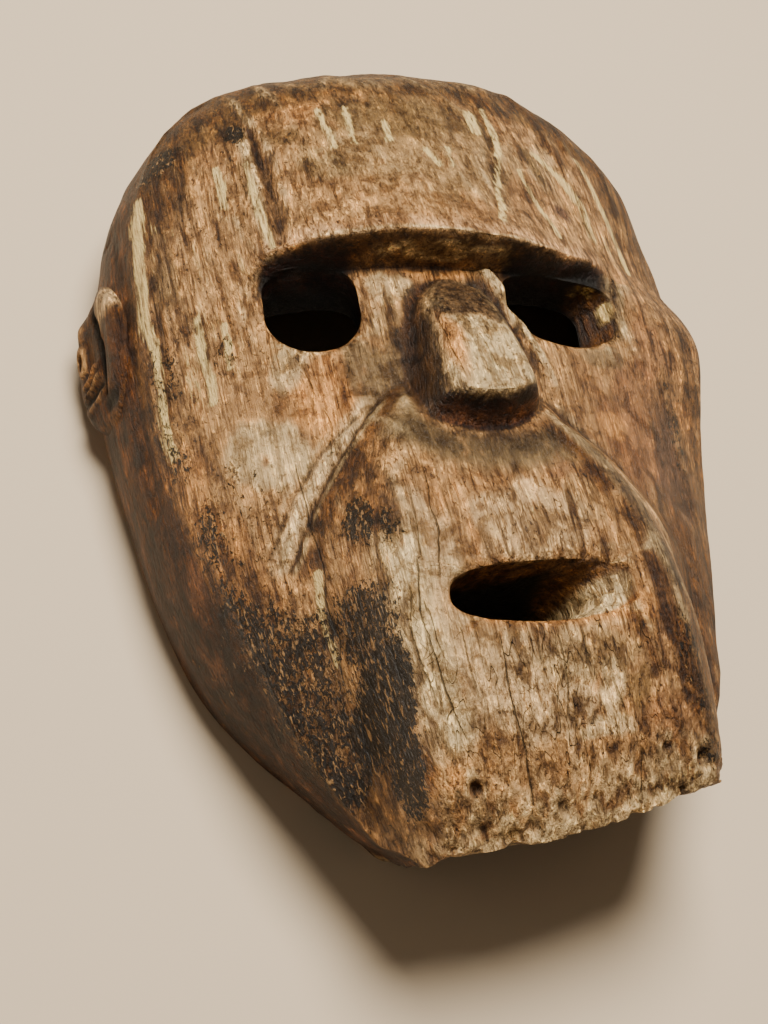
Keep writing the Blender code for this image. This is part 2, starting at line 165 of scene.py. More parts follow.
# Openings: place and half size of each at the front, then at the back of the wall, how square it is
# above and below, how it tilts, and how roughly its walls are cut
LEFT_EYE = dict(front=(-33.2, 33.8, 12.4, 13.0), back=(-33.0, 32.5, 14.5, 11.0),
                top=4.2, bottom=1.9, tilt=-0.12, rough=2.0)
RIGHT_EYE = dict(front=(38.6, 32.0, 18.8, 11.0), back=(34.5, 32.5, 15.0, 10.5),
                 top=4.0, bottom=2.0, tilt=0.03, rough=2.0)
MOUTH = dict(front=(3.0, -63.4, 24.4, 8.1), back=(-5.0, -61.5, 15.5, 6.4),
             top=3.0, bottom=2.1, tilt=0.0, rough=3.4)
# How far the front sinks at an opening's edge, and over what width
LIP_DROP = 1.4
LIP_WIDTH = 1.3
# How far the grid follows an opening, as shares of its half size, at the front and at the back
OPENING_REACH = dict(front=1.7, back=3.0)
# The blocks of grid cells that the openings take out: left, right, low and high, as shares of the front
WINDOWS = (((8 / 40, 14 / 40, 32 / 56, 38 / 56), LEFT_EYE), ((24 / 40, 34 / 40, 32 / 56, 38 / 56), RIGHT_EYE),
           ((12 / 40, 28 / 40, 10 / 56, 14 / 56), MOUTH))

# The hollow behind
WALL_DEPTH = 13.0
RIM_WIDTH = 9.0
HOLLOW_SCALE = ((-116, 0.80), (-60, 0.86), (30, 0.885), (119, 0.90))
GOUGE_DEPTH = 1.3

# Ears: flat carved ovals on the side walls
LEFT_EAR = dict(side=-1, centre=(48.5, 19.5), wall=((8, 83.4), (25, 82.2), (42, 79.4)))
RIGHT_EAR = dict(side=1, centre=(43.0, 15.0), wall=((4, 83.6), (21, 85.0), (38, 85.2)))
EAR_HALF_SIZE = (24.5, 12.5)
EAR_ROOT = 5.0
EAR_RELIEF = ((0.0, 0.0), (0.50, 0.0), (0.74, 0.8), (0.90, 0.7), (0.97, 0.0), (1.0, -0.8))
EAR_MIDDLE = 2.9
EAR_TILT = 2.2
# How softly the carving flattens towards the mask's greatest width
EAR_SOFT = 1.2

# The middle of the hand work's depth, which keeps the carved surface at the smooth form on average
SURFACE_LIFT = 1.15
# Edges that turn by more than this many degrees stay crisp
SHARP_ANGLE = 55

# The photograph's view: how far the camera swings to the left, tips down and rolls, and what it sees
CAMERA_SWING = 20.45
CAMERA_TIP = 29.52
CAMERA_ROLL = 13.76
CAMERA_DISTANCE = 0.521
CAMERA_ASIDE = (0.0062, -0.0044)
CAMERA_LENS = 63.14
SENSOR_WIDTH = 36.0
FLOOR_HALF = 4.0
FLOOR_ROUGHNESS = 0.85
WOOD_SPECULAR = 0.36


def linear(red, green, blue):
    """Linear light for a colour named in screen steps of 0 to 255."""
    steps = np.array((red, green, blue)) / 255.0
    return tuple(np.where(steps > 0.04045, ((steps + 0.055) / 1.055) ** 2.4, steps / 12.92).tolist())


# Surface working: curves, ramps and noise

def through(keys, place):
    """Smooth curve through a few (place, value) pairs, held level beyond both ends."""
    knots, values = np.array(keys, dtype=float).T
    slopes = np.gradient(values, knots)
    place = np.clip(place, knots[0], knots[-1])
    span = np.clip(np.searchsorted(knots, place, side="right") - 1, 0, len(knots) - 2)
    width = knots[span + 1] - knots[span]
    t = (place - knots[span]) / width
    start = (1 + 2 * t) * (1 - t) ** 2 * values[span] + t * (1 - t) ** 2 * width * slopes[span]
    end = t ** 2 * (3 - 2 * t) * values[span + 1] - t ** 2 * (1 - t) * width * slopes[span + 1]
    return start + end


def ramp(value, low, high):
    """0 below low, 1 above high, and an S-shaped rise between them."""
    t = np.clip((value - low) / (high - low), 0.0, 1.0)
    return t * t * (3 - 2 * t)


def bell(value, width):
    """1 where a value is nil, falling off on both sides: exp(-(value / width) squared)."""
    return np.exp(-((value / width) ** 2))


def soft_min(a, b, radius):
    """The lower of two heights, with the crease between them rounded over."""
    share = np.clip(0.5 + 0.5 * (b - a) / radius, 0.0, 1.0)
    return b + (a - b) * share - radius * share * (1 - share)


def soft_max(a, b, radius):
    """The higher of two heights, with the crease between them filled."""
    return -soft_min(-a, -b, radius)


def noise(points, size, seed):
    """Smooth noise from 0 to 1: random values at the corners of cells of a size, eased between them."""
    order = np.random.default_rng(seed).permutation(256)
    level = np.random.default_rng(seed + 1).random(256)
    place = points / np.array(size, dtype=float) + 100.37
    corner = np.floor(place).astype(int)
    t = place - corner
    t = t * t * (3 - 2 * t)
    total = np.zeros(points.shape[:-1])
    for dx in (0, 1):
        for dy in (0, 1):
            for dz in (0, 1):
                hashed = order[(corner[..., 2] + dz) % 256]
                hashed = order[(hashed + corner[..., 1] + dy) % 256]
                hashed = order[(hashed + corner[..., 0] + dx) % 256]
                share_x = t[..., 0] if dx else 1 - t[..., 0]
                share_y = t[..., 1] if dy else 1 - t[..., 1]
                share_z = t[..., 2] if dz else 1 - t[..., 2]
                total += level[hashed] * share_x * share_y * share_z
    return total


def layers(points, size, seed, count=3):
    """Noise in layers, each half the size and half the strength of the one before."""
    total = np.zeros(points.shape[:-1])
    for k in range(count):
        total += noise(points, np.array(size, dtype=float) / 2 ** k, seed + 7 * k) / 2 ** k
    return total / (2 - 0.5 ** (count - 1))


def spot(x, y, centre, size, turn=0.0):
    """A soft ellipse: 1 inside, fading to 0 past its half sizes, turned anticlockwise in degrees."""
    angle = np.radians(turn)
    u = (x - centre[0]) * np.cos(angle) + (y - centre[1]) * np.sin(angle)
    v = (y - centre[1]) * np.cos(angle) - (x - centre[0]) * np.sin(angle)
    return 1 - ramp(np.hypot(u / size[0], v / size[1]), 0.45, 1.3)


def line_distance(x, y, points):
    """Distance to the nearest of the straight runs between a few points."""
    nearest = np.full(x.shape, 1e9)
    for (ax, ay), (bx, by) in zip(points[:-1], points[1:]):
        run_x, run_y = bx - ax, by - ay
        t = np.clip(((x - ax) * run_x + (y - ay) * run_y) / (run_x ** 2 + run_y ** 2), 0.0, 1.0)
        nearest = np.minimum(nearest, np.hypot(x - ax - t * run_x, y - ay - t * run_y))
    return nearest


def trail(x, y, points, width):
    """A soft band along a line of points."""
    return 1 - ramp(line_distance(x, y, points), 0.25 * width, width)


def strongest(x, y, spots):
    """The highest of several soft spots at each point: centre, half size and strength of each."""
    share = np.zeros(x.shape)
    for centre, size, strength in spots:
        share = np.maximum(share, strength * spot(x, y, centre, size))
    return share


# The mask's form, as heights over its plan

def brow_line(x):
    """How far up the face the brow's edge lies."""
    return BROW_Y + BROW_SLANT * x + BROW_ARCH * x ** 2


def outline(across, up):
    """Plan of the front: rows of the mask's width, bowed over the crown and slanted along the chin."""
    lateral = through(COLUMN_PLACES, across)
    level = through(ROW_HEIGHTS, up)
    x = through(MIDDLE_X, level) + lateral * through(HALF_WIDTH, level)
    chin = (1 - up) ** 3 * (CHIN_SLANT * x - CHIN_BOW * (1 - lateral ** 2))
    crown = ramp(level, BROW_Y, TEMPLE_Y) * CROWN_RISE * (1 - lateral ** 2)
    brow = ramp(level, 0, BROW_Y) * ramp(-level, -TEMPLE_Y, -BROW_Y) * (brow_line(x) - BROW_Y)
    return np.stack([x, level + chin + crown + brow * (1 - lateral ** 2)], axis=-1)


def edge_distance(x, y):
    """About how far a point of the front lies inside the outline, at the sides and over the crown."""
    lateral = (x - through(MIDDLE_X, y)) / through(HALF_WIDTH, y)
    side = (1 - np.abs(lateral)) * through(HALF_WIDTH, y)
    over = np.clip((x - MIDDLE_X[-1][1]) / HALF_WIDTH[-1][1], -1.2, 1.2)
    crown = TEMPLE_Y + CROWN_RISE * (1 - over ** 2) - y
    return soft_min(side, crown, BEVEL_CORNER)


def forehead(x, y):
    """A crowned face leaning back, temples falling away at each side, bevelled towards the outline."""
    slope = np.where(x < 0, TEMPLE_SLOPE[0], TEMPLE_SLOPE[1])
    away = soft_max(x ** 2 / FOREHEAD_CROWN, TEMPLE_EDGE / 4 + slope * (np.abs(x) - TEMPLE_EDGE), 3.0)
    flatter = 1 - FOREHEAD_FLATTER * ramp(y, BROW_Y, BROW_Y + FOREHEAD_HEIGHT)
    face = BROW_HEIGHT - FOREHEAD_LEAN * (y - BROW_Y) - away * flatter
    bevel = BEVEL_FOOT + CROWN_LIFT * ramp(y, 96, 126) + BEVEL_SLOPE * edge_distance(x, y)
    return soft_min(face, bevel, 2.2)


def cheeks(x, y):
    """The lower face as one crowned surface that falls away along the jaw."""
    crown = np.where(x < 0, through(LEFT_CROWN, y), through(RIGHT_CROWN, y))
    fall = JAW_FALL * soft_max(JAW_FROM_Y - y, np.zeros_like(y), 20.0)
    return CHEEK_HEIGHT - crown * x ** 2 - fall


def muzzle(x, y):
    """A block whose top follows the profile from nose to chin, with a sloping plane at each side."""
    top = through(MUZZLE_TOP, y) - MUZZLE_CROWN * x ** 2
    steep = through(MUZZLE_SIDE, y)
    outside = soft_max(through(MUZZLE_LEFT, y) - x, x - through(MUZZLE_RIGHT, y), 4.0)
    return top - steep * soft_max(outside, np.zeros_like(x), 5.0)


def nose(x, y):
    """Two faces that meet across the nose, cut by two side planes and a steep, bowed base."""
    (bridge_y, bridge), (break_y, middle), (tip_y, tip) = NOSE_BRIDGE, NOSE_BREAK, NOSE_TIP
    upper = bridge + (middle - bridge) * (bridge_y - y) / (bridge_y - break_y)
    lower = middle + (tip - middle) * (break_y - y) / (break_y - tip_y)
    ridge = soft_min(upper, lower, 3.0) - NOSE_CROWN * (x - through(NOSE_MIDDLE, y)) ** 2
    beside = np.abs(x - through(NOSE_MIDDLE, y)) - through(NOSE_HALF_WIDTH, y)
    sides = ridge - NOSE_SIDE * soft_max(beside, np.zeros_like(x), 4.6)
    bow = NOSE_BOW * (x - through(NOSE_MIDDLE, y)) ** 2
    base = tip + NOSE_BASE * (y - tip_y - bow)
    return soft_min(sides, base, 4.0)


def opening_distance(opening, x, y, side="front"):
    """About how far a point lies outside an opening's edge."""
    middle_x, middle_y, half_x, half_y = opening[side]
    aside = (x - middle_x) / half_x
    above = (y - middle_y - opening["tilt"] * (x - middle_x)) / half_y
    power = opening["bottom"] + (opening["top"] - opening["bottom"]) * ramp(above, -0.3, 0.6)
    size = np.maximum(np.abs(aside) ** power + np.abs(above) ** power, 1e-6) ** (1 / power)
    return (size - 1) * np.where(np.abs(above) > np.abs(aside), half_y, half_x)


def front_height(x, y):
    """Height of the carved face over the resting edge."""
    fade = np.maximum(ramp(-x, *BROW_LEFT_END), ramp(x, *BROW_RIGHT_END))
    step = ramp(y, through(BROW_FOOT, x) - BROW_FADE_DOWN * fade, through(BROW_EDGE, x) + BROW_FADE_UP * fade)
    face = cheeks(x, y) * (1 - step) + forehead(x, y) * step
    face = soft_max(face, muzzle(x, y), np.where(x < 0, 3.0, 1.8))
    face = soft_max(face, nose(x, y), 1.2)
    face = face + BRIDGE_RIDGE * ramp(y, 0, 16) * bell(line_distance(x, y, BRIDGE_LINE), BRIDGE_WIDTH)
    inside = np.maximum(edge_distance(x, y), 0.0)
    face = face - SHOULDER_DROP * np.exp(-inside / SHOULDER_WIDTH)
    for _, opening in WINDOWS:
        _, middle_y, _, half_y = opening["front"]
        below = 1 if opening is MOUTH else 1 - ramp(y, middle_y - 0.2 * half_y, middle_y + 0.5 * half_y)
        near = np.exp(-np.maximum(opening_distance(opening, x, y), 0.0) / LIP_WIDTH)
        face = face - LIP_DROP * below * near
    return face


def hollow_height(x, y):
    """Height of the hollow's roof: the plain form of the face, one wall depth below it."""
    bevel = BEVEL_FOOT + BEVEL_SLOPE * edge_distance(x, y)
    return soft_min(cheeks(x, y), bevel, 6.0) - WALL_DEPTH


def outward(plan):
    """Direction away from the middle of the mask, square to its outline."""
    half_width, half_height, middle = OVAL
    away = np.stack([plan[..., 0] / half_width ** 2, (plan[..., 1] - middle) / half_height ** 2], axis=-1)
    return away / np.maximum(np.linalg.norm(away, axis=-1, keepdims=True), 1e-9)


def open_window(plan, across, up, window, opening, side, shape):
    """Draw the grid lines around a window of cells onto the rounded outline of an opening.

    The window's edge goes onto a superellipse, square above and round below, and the cells around it
    follow by a share that fades with their distance from the window.
    """
    low_a, high_a, low_b, high_b = window
    middle = (low_a + high_a) / 2, (low_b + high_b) / 2
    half = (high_a - low_a) / 2, (high_b - low_b) / 2
    alpha = (across - middle[0]) / half[0]
    beta = (up - middle[1]) / half[1]
    reach = np.maximum(np.maximum(np.abs(alpha), np.abs(beta)), 1e-6)
    edge_a = alpha / reach
    edge_b = beta / reach
    before = shape(middle[0] + half[0] * edge_a, middle[1] + half[1] * edge_b)
    power = opening["bottom"] + (opening["top"] - opening["bottom"]) * ramp(edge_b, -0.3, 0.6)
    size = np.maximum(np.abs(edge_a) ** power + np.abs(edge_b) ** power, 1e-6) ** (1 / power)
    x, y, half_x, half_y = opening[side]
    aside = half_x * edge_a / size
    after = np.stack([x + aside, y + opening["tilt"] * aside + half_y * edge_b / size], axis=-1)
    share = 1 - ramp(reach, 1.0, OPENING_REACH[side])
    return plan + share[..., None] * (after - before)


def hollow_plan(across, up):
    """Plan of the hollow: the outline drawn in by the thickness of the wall."""
    plan = outline(across, up)
    return plan * through(HOLLOW_SCALE, plan[..., 1])[..., None]


def bend_windows(plan, across, up, side, shape):
    """The plan with the grid drawn around every opening."""
    for window, opening in WINDOWS:
        plan = open_window(plan, across, up, window, opening, side, shape)
    return plan


def follow_brow(plan, up):
    """Lay the rows over the eyes along the brow's edge again, where the openings have bent them."""
    low, first, last, high = BROW_ROWS
    share = ramp(up, low, first) * (1 - ramp(up, last, high))
    edge = (through(BROW_FOOT, plan[..., 0]) + through(BROW_EDGE, plan[..., 0])) / 2
    along = edge + BROW_ROW_SQUEEZE * (through(ROW_HEIGHTS, up) - BROW_MIDDLE_Y)
    plan[..., 1] += share * (along - plan[..., 1])
    return plan


def resting_edge(plan):
    """The outer line of the resting edge below each point of the shoulder."""
    y = plan[..., 1]
    tuck = CHIN_TUCK * ramp(-y, -TUCK_FROM_Y, -TUCK_FULL_Y)
    offset = through(EDGE_OFFSET, y) + EDGE_SHIFT_X * plan[..., 0] / OVAL[0] * ramp(y, *EDGE_SHIFT_FROM_Y)
    edge = plan + outward(plan) * offset[..., None]
    edge[..., 1] += tuck
    return edge


def outer_surface(across, up, depth):
    """Front and side wall: the carved height over the plan, then down the wall to the resting edge."""
    plan = bend_windows(outline(across, up), across, up, "front", outline)
    plan = follow_brow(plan, up)
    height = front_height(plan[..., 0], plan[..., 1])
    lean = 1 + BULGE_SHIFT_X * np.clip(plan[..., 0] / OVAL[0], -1, 1)
    bulge = through(WALL_BULGE, plan[..., 1]) * lean * np.sin(np.pi * depth)
    wall = plan + (resting_edge(plan) - plan) * depth[..., None] + outward(plan) * bulge[..., None]
    return np.concatenate([wall, (height * (1 - depth))[..., None]], axis=-1)


def inner_surface(across, up, depth):
    """The hollow: its roof under the face, then down the inside of the wall to the resting edge."""
    plan = bend_windows(hollow_plan(across, up), across, up, "back", hollow_plan)
    height = hollow_height(plan[..., 0], plan[..., 1])
    edge = resting_edge(outline(across, up))
    edge = edge - outward(edge) * RIM_WIDTH
    wall = plan + (edge - plan) * depth[..., None]
    return np.concatenate([wall, (height * (1 - depth))[..., None]], axis=-1)


# Wear and hand work, in millimetres carved away

GROOVES = (
    (((-39.5, 98), (-39, 78), (-39, 62), (-40.5, 53)), 1.6, 1.3),
    (((-44.5, 92), (-45, 75), (-46.5, 60)), 1.3, 0.6),
    (((30.5, 106), (31, 94), (25, 70), (21, 54)), 1.3, 0.6),
    (((-70.5, 84), (-71, 60), (-71.5, 36), (-71, 6)), 0.9, 0.7),
    (((-77, 88), (-78, 60), (-78.5, 20), (-77, -8)), 1.0, 0.8),
    (((-28, -1), (-39, -10.5), (-48, -21.5), (-54.5, -35)), 0.8, 0.7),
    (((-22.5, 3), (-35, -12.5), (-45, -26), (-52, -40)), 0.9, 0.9),
    (((24, -10), (32, -22), (42, -42), (50, -62)), 1.2, 0.8),
)
# Splits in the wood: points, width and depth, of which the mesh carries a share and the colour the rest
SPLIT_SHARE = 0.4
SPLITS = (
    (((-46, -12), (-45.5, -31), (-45, -55), (-44, -72)), 0.7, 0.9),
    (((-36, 2), (-35.5, -4), (-37, -14)), 0.5, 0.4),
    (((-20, -24), (-20.5, -36), (-21, -46), (-23, -58)), 0.8, 0.8),
    (((-28, -52), (-29.5, -66), (-28, -82), (-24, -97)), 0.8, 0.9),
    (((-21, -70), (-20.5, -78), (-19.5, -88)), 0.6, 0.6),
    (((-12, -74), (-11.5, -90), (-10, -102), (-10, -114)), 0.9, 1.0),
    (((-3, -74), (-3, -82)), 0.5, 0.5),
    (((3, -73), (3.2, -88), (2, -95)), 0.6, 0.6),
    (((9, -73), (9.5, -84)), 0.5, 0.5),
    (((15, -86), (16, -97)), 0.5, 0.5),
    (((19, -102), (18, -113)), 0.8, 0.9),
    (((4, -96), (5, -108)), 0.5, 0.5),
    (((-36, -56), (-37, -70), (-35, -86)), 0.5, 0.5),
    (((-42, -78), (-41, -92)), 0.5, 0.5),
    (((-31, -60), (-32, -72), (-30, -88)), 0.5, 0.5),
    (((-17, -34), (-16.5, -44)), 0.4, 0.4),
    (((-25, -30), (-25.5, -44), (-27, -54)), 0.4, 0.4),
    (((-39, 17), (-38, 8), (-39, 2)), 0.5, 0.4),
    (((2.5, 12), (3, 2), (2.5, -6)), 0.4, 0.3),
    (((-2.5, 11), (-3, 2)), 0.4, 0.3),
    (((-5.8, 20), (-6.2, 6), (-5.6, -6)), 0.5, 0.5),
    (((-45, 89), (-45, 73)), 0.5, 0.5),
    (((-33.5, 62), (-33, 52)), 0.4, 0.3),
    (((57, 60), (60, 44), (62, 30)), 0.5, 0.4),
)
PITS = (((-23, -108), 2.4, 2.4), ((36, -106), 2.8, 2.2), ((26, -103), 1.5, 1.4), ((16.5, -118), 2.6, 3.6),
        ((8, -96), 1.4, 0.8), ((-2, -113), 2.2, 1.0), ((30, -112.5), 2.0, 0.9), ((-14, -118), 2.4, 1.0),
        ((21, -62), 1.5, 1.5), ((48, 67), 2.6, 0.5), ((-51, 0), 1.6, 0.5))


def turned(points, degrees):
    """Points turned anticlockwise in the plan, to lay noise along slanting tool marks."""
    angle = np.radians(degrees)
    x = points[..., 0] * np.cos(angle) + points[..., 1] * np.sin(angle)
    y = points[..., 1] * np.cos(angle) - points[..., 0] * np.sin(angle)
    return np.stack([x, y, points[..., 2]], axis=-1)


def chin_share(x, y):
    """1 along the battered lower edge of the chin, fading upwards."""
    edge = -CHIN_Y - CHIN_SLANT * x + CHIN_BOW
    return 1 - ramp(y + edge, 2.0, 20.0)


def temple_share(x, y):
    """1 on the tooled temples beside the forehead and the eyes."""
    left = spot(x, y, (-60, 52), (19, 58))
    right = spot(x, y, (62, 78), (14, 34), 15)
    return np.maximum(left, right)


def wander(points):
    """X of each point moved a little by noise, so that a line down the grain isn't quite straight."""
    return points[..., 0] + 1.4 * (noise(points, (3, 6, 6), 41) - 0.5)


def split_lines(points):
    """Signed distance across to the nearest split, and how near it is.

    The nearness is highest on the split, and 0 some way off and past its ends. Each split is a curve
    x = f(y) through its points, and wanders a little about it.
    """
    x = wander(points)
    y = points[..., 1]
    across = np.zeros(x.shape)
    near = np.zeros(x.shape)
    for line, _, depth in SPLITS:
        spots = np.array(sorted(line, key=lambda place: place[1]), dtype=float)
        offset = x - np.interp(y, spots[:, 1], spots[:, 0])
        foot, head = spots[0, 1], spots[-1, 1]
        along = ramp(y, foot - 1.5, foot + 3) * (1 - ramp(y, head - 3, head + 1.5))
        share = along * (1 - ramp(np.abs(offset), 0.9, 2.2)) * (0.2 + 0.5 * depth)
        nearer = share > near
        across = np.where(nearer, offset, across)
        near = np.where(nearer, share, near)
    return across, near


def carved_away(points, tool):
    """How deep hands and wear have cut into the outer surface, over its smooth form."""
    x, y = points[..., 0], points[..., 1]
    uneven = 1.3 * layers(points, (26, 34, 22), 11, 2)
    ridges = np.abs(2 * noise(turned(points, 12), (9, 24, 12), 23) - 1)
    slanted = turned(points, 10)
    strokes = noise(slanted, (2.4, 15, 3.2), 31) + 0.6 * noise(slanted, (1.5, 7, 2.0), 37)
    strokes = tool.stroke_depth * strokes * (0.3 + 0.7 * temple_share(x, y))
    cut = uneven + tool.facet_depth * ridges + strokes
    drift = wander(points)
    for line, width, depth in GROOVES:
        cut = cut + depth * bell(line_distance(drift, y, line), width)
    for line, width, depth in SPLITS:
        cut = cut + SPLIT_SHARE * depth * bell(line_distance(drift, y, line), width)
    for (pit_x, pit_y), radius, depth in PITS:
        away = np.hypot(x - pit_x, y - pit_y) + 1.2 * (noise(points, (2.5, 2.5, 2.5), 43) - 0.5)
        cut = cut + depth * (1 - ramp(away, 0.35 * radius, radius))
    chin = chin_share(x, y)
    broken = ramp(layers(points, (8, 5, 6), 47, 3), 0.45, 0.75)
    knotty = ramp(np.abs(2 * layers(points, (5, 4, 5), 53, 2) - 1), 0.0, 0.25)
    return cut + chin * (tool.chip_depth * broken + 0.6 * (1 - knotty)) - SURFACE_LIFT


def hollowness(points, normals, reach):
    """How far each point lies below the middle of its neighbours at a reach of some cells, in millimetres."""
    wide = np.pad(points, ((reach, reach), (reach, reach), (0, 0)), mode="edge")
    middle = (wide[:-2 * reach, reach:-reach] + wide[2 * reach:, reach:-reach]
              + wide[reach:-reach, :-2 * reach] + wide[reach:-reach, 2 * reach:]) / 4
    return np.sum((middle - points) * normals, axis=-1)


# Colour zones, painted from the form: soft spots and trails of named shades, among them painted shade and
# painted highlights

def mix(first, second, share):
    """Colours blended by a share for each point."""
    return first + (np.array(second) - first) * np.clip(share, 0.0, 1.0)[..., None]


def shades(wood):
    """The wood's shades by their names."""
    return {name: np.array(getattr(wood, name)) for name in SHADES}


# Each wash: shade, centre, half size, turn, strength
WASHES = (
    ("grey", (6, 84), (36, 26), 0, 0.55),
    ("olive", (8, 100), (30, 12), 0, 0.6),
    ("tan", (-14, 62), (24, 10), 0, 0.45),
    ("char", (-19, 6), (5, 17), 0, 0.5),
    ("orange", (-27, 106), (10, 6), 0, 0.6),
    ("olive", (-31, 93), (5, 5), 0, 0.7),
    ("grey", (-24, 78), (7, 6), 0, 0.6),
    ("tan", (-58, 50), (18, 40), 0, 0.7),
    ("umber", (-44, 100), (6, 7), 0, 0.7),
    ("umber", (-66, 97), (10, 8), 30, 0.75),
    ("umber", (-72, 80), (5, 12), 0, 0.5),
    ("grey", (-68, 56), (5, 10), 0, 0.5),
    ("cream", (46, 86), (8, 12), -20, 0.35),
    ("tan", (58, 74), (12, 20), -15, 0.5),
    ("olive", (43, 86), (3, 9), 12, 0.8),
    ("plum", (48, 67), (4.5, 4), 0, 0.85),
    ("tan", (40, 54), (20, 6), -10, 0.6),
    ("cream", (-40, 18), (8, 7), 20, 0.55),
    ("olive", (-43, 22), (4, 6), 0, 0.4),
    ("orange", (-35, 5), (9, 15), 0, 0.85),
    ("orange", (-28, 22), (6, 3), 10, 0.7),
    ("ash", (-21, 5), (9, 17), 15, 0.9),
    ("ash", (-15, 22), (6, 12), 0, 0.7),
    ("cream", (-13, 37), (7, 6), 0, 0.6),
    ("orange", (3, 41.5), (12, 3.5), 0, 0.8),
    ("tan", (-62, -6), (16, 22), 10, 0.7),
    # Painted highlight: cream on the bulge of the left cheek
    ("cream", (-52, -6), (10, 13), 25, 0.75),
    ("orange", (-66, -32), (10, 16), 0, 0.6),
    ("tan", (-56, -72), (20, 34), 15, 0.55),
    ("orange", (-74, -14), (8, 22), 0, 0.6),
    ("orange", (-60, -46), (8, 8), 0, 0.5),
    ("orange", (-36, -26), (8, 12), 0, 0.6),
    ("tan", (-27, -22), (12, 9), 0, 0.6),
    ("tan", (-38, -104), (6, 14), 10, 0.8),
    ("orange", (-30, -103), (6, 4), 0, 0.7),
    # Painted highlight down the muzzle's left side
    ("pale", (-25, -62), (8, 34), 0, 0.75),
    ("pale", (3, -44), (17, 13), 0, 0.6),
    ("pale", (-6, -86), (18, 15), 0, 0.75),
    ("grey", (8, -80), (16, 7), 0, 0.55),
    ("rust", (17, -27), (13, 5), -12, 0.65),
    ("ash", (20, -38), (8, 8), 0, 0.45),
    ("orange", (26, -68), (7, 5), 0, 0.6),
    ("plum", (35, -70), (6, 18), 10, 0.6),
    ("olive", (21, -89), (5, 5), 0, 0.7),
    ("cream", (14, -88), (4, 7), 0, 0.6),
    ("cream", (12, -97), (8, 3), 0, 0.6),
    ("rust", (30, -98), (10, 9), 0, 0.45),
    ("tan", (28, 8), (8, 15), -20, 0.7),
    ("rust", (56, -4), (16, 26), -10, 0.6),
    ("plum", (63, -20), (8, 26), -12, 0.75),
    ("ash", (47, 19), (8, 5), 0, 0.8),
    ("orange", (44, -5), (4, 4), 0, 0.8),
    ("orange", (76, 5), (4, 6), 0, 0.8),
    ("rust", (66, 24), (8, 12), 0, 0.5),
    ("olive", (52, -42), (6, 20), -14, 0.5),
    ("ash", (57, 37), (5, 11), -8, 0.9),
    ("umber", (-34, -27), (8, 19), 15, 0.65),
    ("bark", (58, -52), (8, 30), -8, 0.9),
    ("umber", (26, -28), (7, 8), 0, 0.5),
    ("umber", (38, -86), (6, 20), 0, 0.9),
    ("umber", (30, -108), (13, 8), 0, 0.65),
    ("char", (66, -6), (7, 26), -10, 0.45),
)
# Each band of shade along a line: shade, points, width, strength
BANDS = (
    # Painted highlight: a cream strip down the muzzle's left side, beside the soot
    ("cream", ((-31, -48), (-31, -67), (-29, -82), (-27, -95)), 8.0, 0.95),
    ("pale", ((-25, 1), (-37, -11.5), (-46.5, -23.5), (-53.5, -38)), 4.0, 1.0),
    ("ash", ((-22, -11), (-13, -20), (-3, -23), (7, -24), (24, -22)), 9.0, 1.0),
    ("char", ((-19, -13), (-10, -19.5), (7, -21.5), (24, -19)), 7.0, 0.75),
    # Right crease: a pale painted highlight along its edge, then painted shade in umber and char on the
    # muzzle's right side
    ("pale", ((28, -2), (36, -13), (43, -26), (50, -42)), 2.2, 0.7),
    ("umber", ((22, -12), (27, -28), (32, -46), (36, -62), (38, -78)), 8.0, 0.9),
    ("char", ((26, -12), (31, -28), (36, -46), (39, -62)), 4.5, 0.7),
    ("umber", ((-19, 2), (-31, -13), (-41, -27), (-48, -42)), 4.0, 0.9),
    ("soil", ((-22, 2), (-34, -13), (-44, -27), (-51, -41)), 1.5, 0.9),
    ("soil", ((-29, -2), (-39.5, -10.5), (-48.5, -21.5), (-55, -35)), 0.9, 0.6),
    ("soil", ((-39.5, 96), (-39, 62), (-40.5, 53)), 1.7, 0.85),
    ("cream", ((-42, 98), (-42.5, 75), (-43, 50)), 2.2, 0.7),
)
CREASE_BAND = 1
NOSE_BAND = 2
# Bare, pale wood along worn lines: points and width
BARE_LINES = (
    (((-72, 86), (-73, 77), (-73.5, 66), (-74, 54), (-75, 44), (-73, 36), (-74, 14), (-73, 3)), 2.6),
    (((-51, 87), (-50.5, 72)), 2.2), (((-43, 86), (-42.5, 52)), 2.0), (((-62, 40), (-62, 14)), 2.4),
    (((-56, 36), (-57, 22)), 1.6), (((-19, 103), (-19, 85)), 2.0), (((-11, 104), (-13, 86)), 1.8),
    (((-1.5, 96), (-2, 87)), 2.4), (((33, 108), (33, 94), (26, 68), (22, 52)), 2.2),
    (((27, 103), (27, 95)), 4.0), (((46, 90), (54, 84), (58, 74), (58, 62)), 3.0),
    (((64, 96), (68, 76), (71, 56)), 2.4), (((36, 80), (38, 66), (42, 54)), 1.8),
    (((-46, -44), (-46, -56), (-45, -67)), 1.7), (((7, 83), (9, 76)), 2.0), (((14, 84), (13, 75)), 1.6),
)
# Soot and old black lacquer: centre, half size, turn, strength
SOOT_SPOTS = (
    ((-55, -72), (17, 34), 12, 0.60), ((-64, -54), (8, 22), 12, 0.68), ((-67, -27), (6, 13), 0, 0.56),
    ((-47, -57), (9, 6), 0, 0.62), ((-39, -64), (6, 12), 0, 0.68), ((-38, -82), (7, 17), 0, 0.82),
    ((-34.5, -99), (5.5, 11), 0, 0.74), ((-37, -35), (5.0, 11), 10, 0.62), ((-31, -42), (3.0, 9), 0, 0.60),
    ((-46, -92), (8, 10), 0, 0.68), ((-66, 96), (10, 7), 30, 0.62), ((-44, 100), (4, 6), 0, 0.66),
    ((-73, 26), (5, 16), 0, 0.5), ((-74, 4), (5, 20), 0, 0.5), ((-60, -20), (14, 26), 0, 0.36),
    ((38, -104), (6, 6), 0, 0.5), ((-57, 28), (5, 6), 0, 0.45), ((70, 0), (4, 30), 0, 0.45),
    ((38, -80), (5, 20), 0, 0.50), ((-43, -60), (22, 10), 0, 0.54),
)
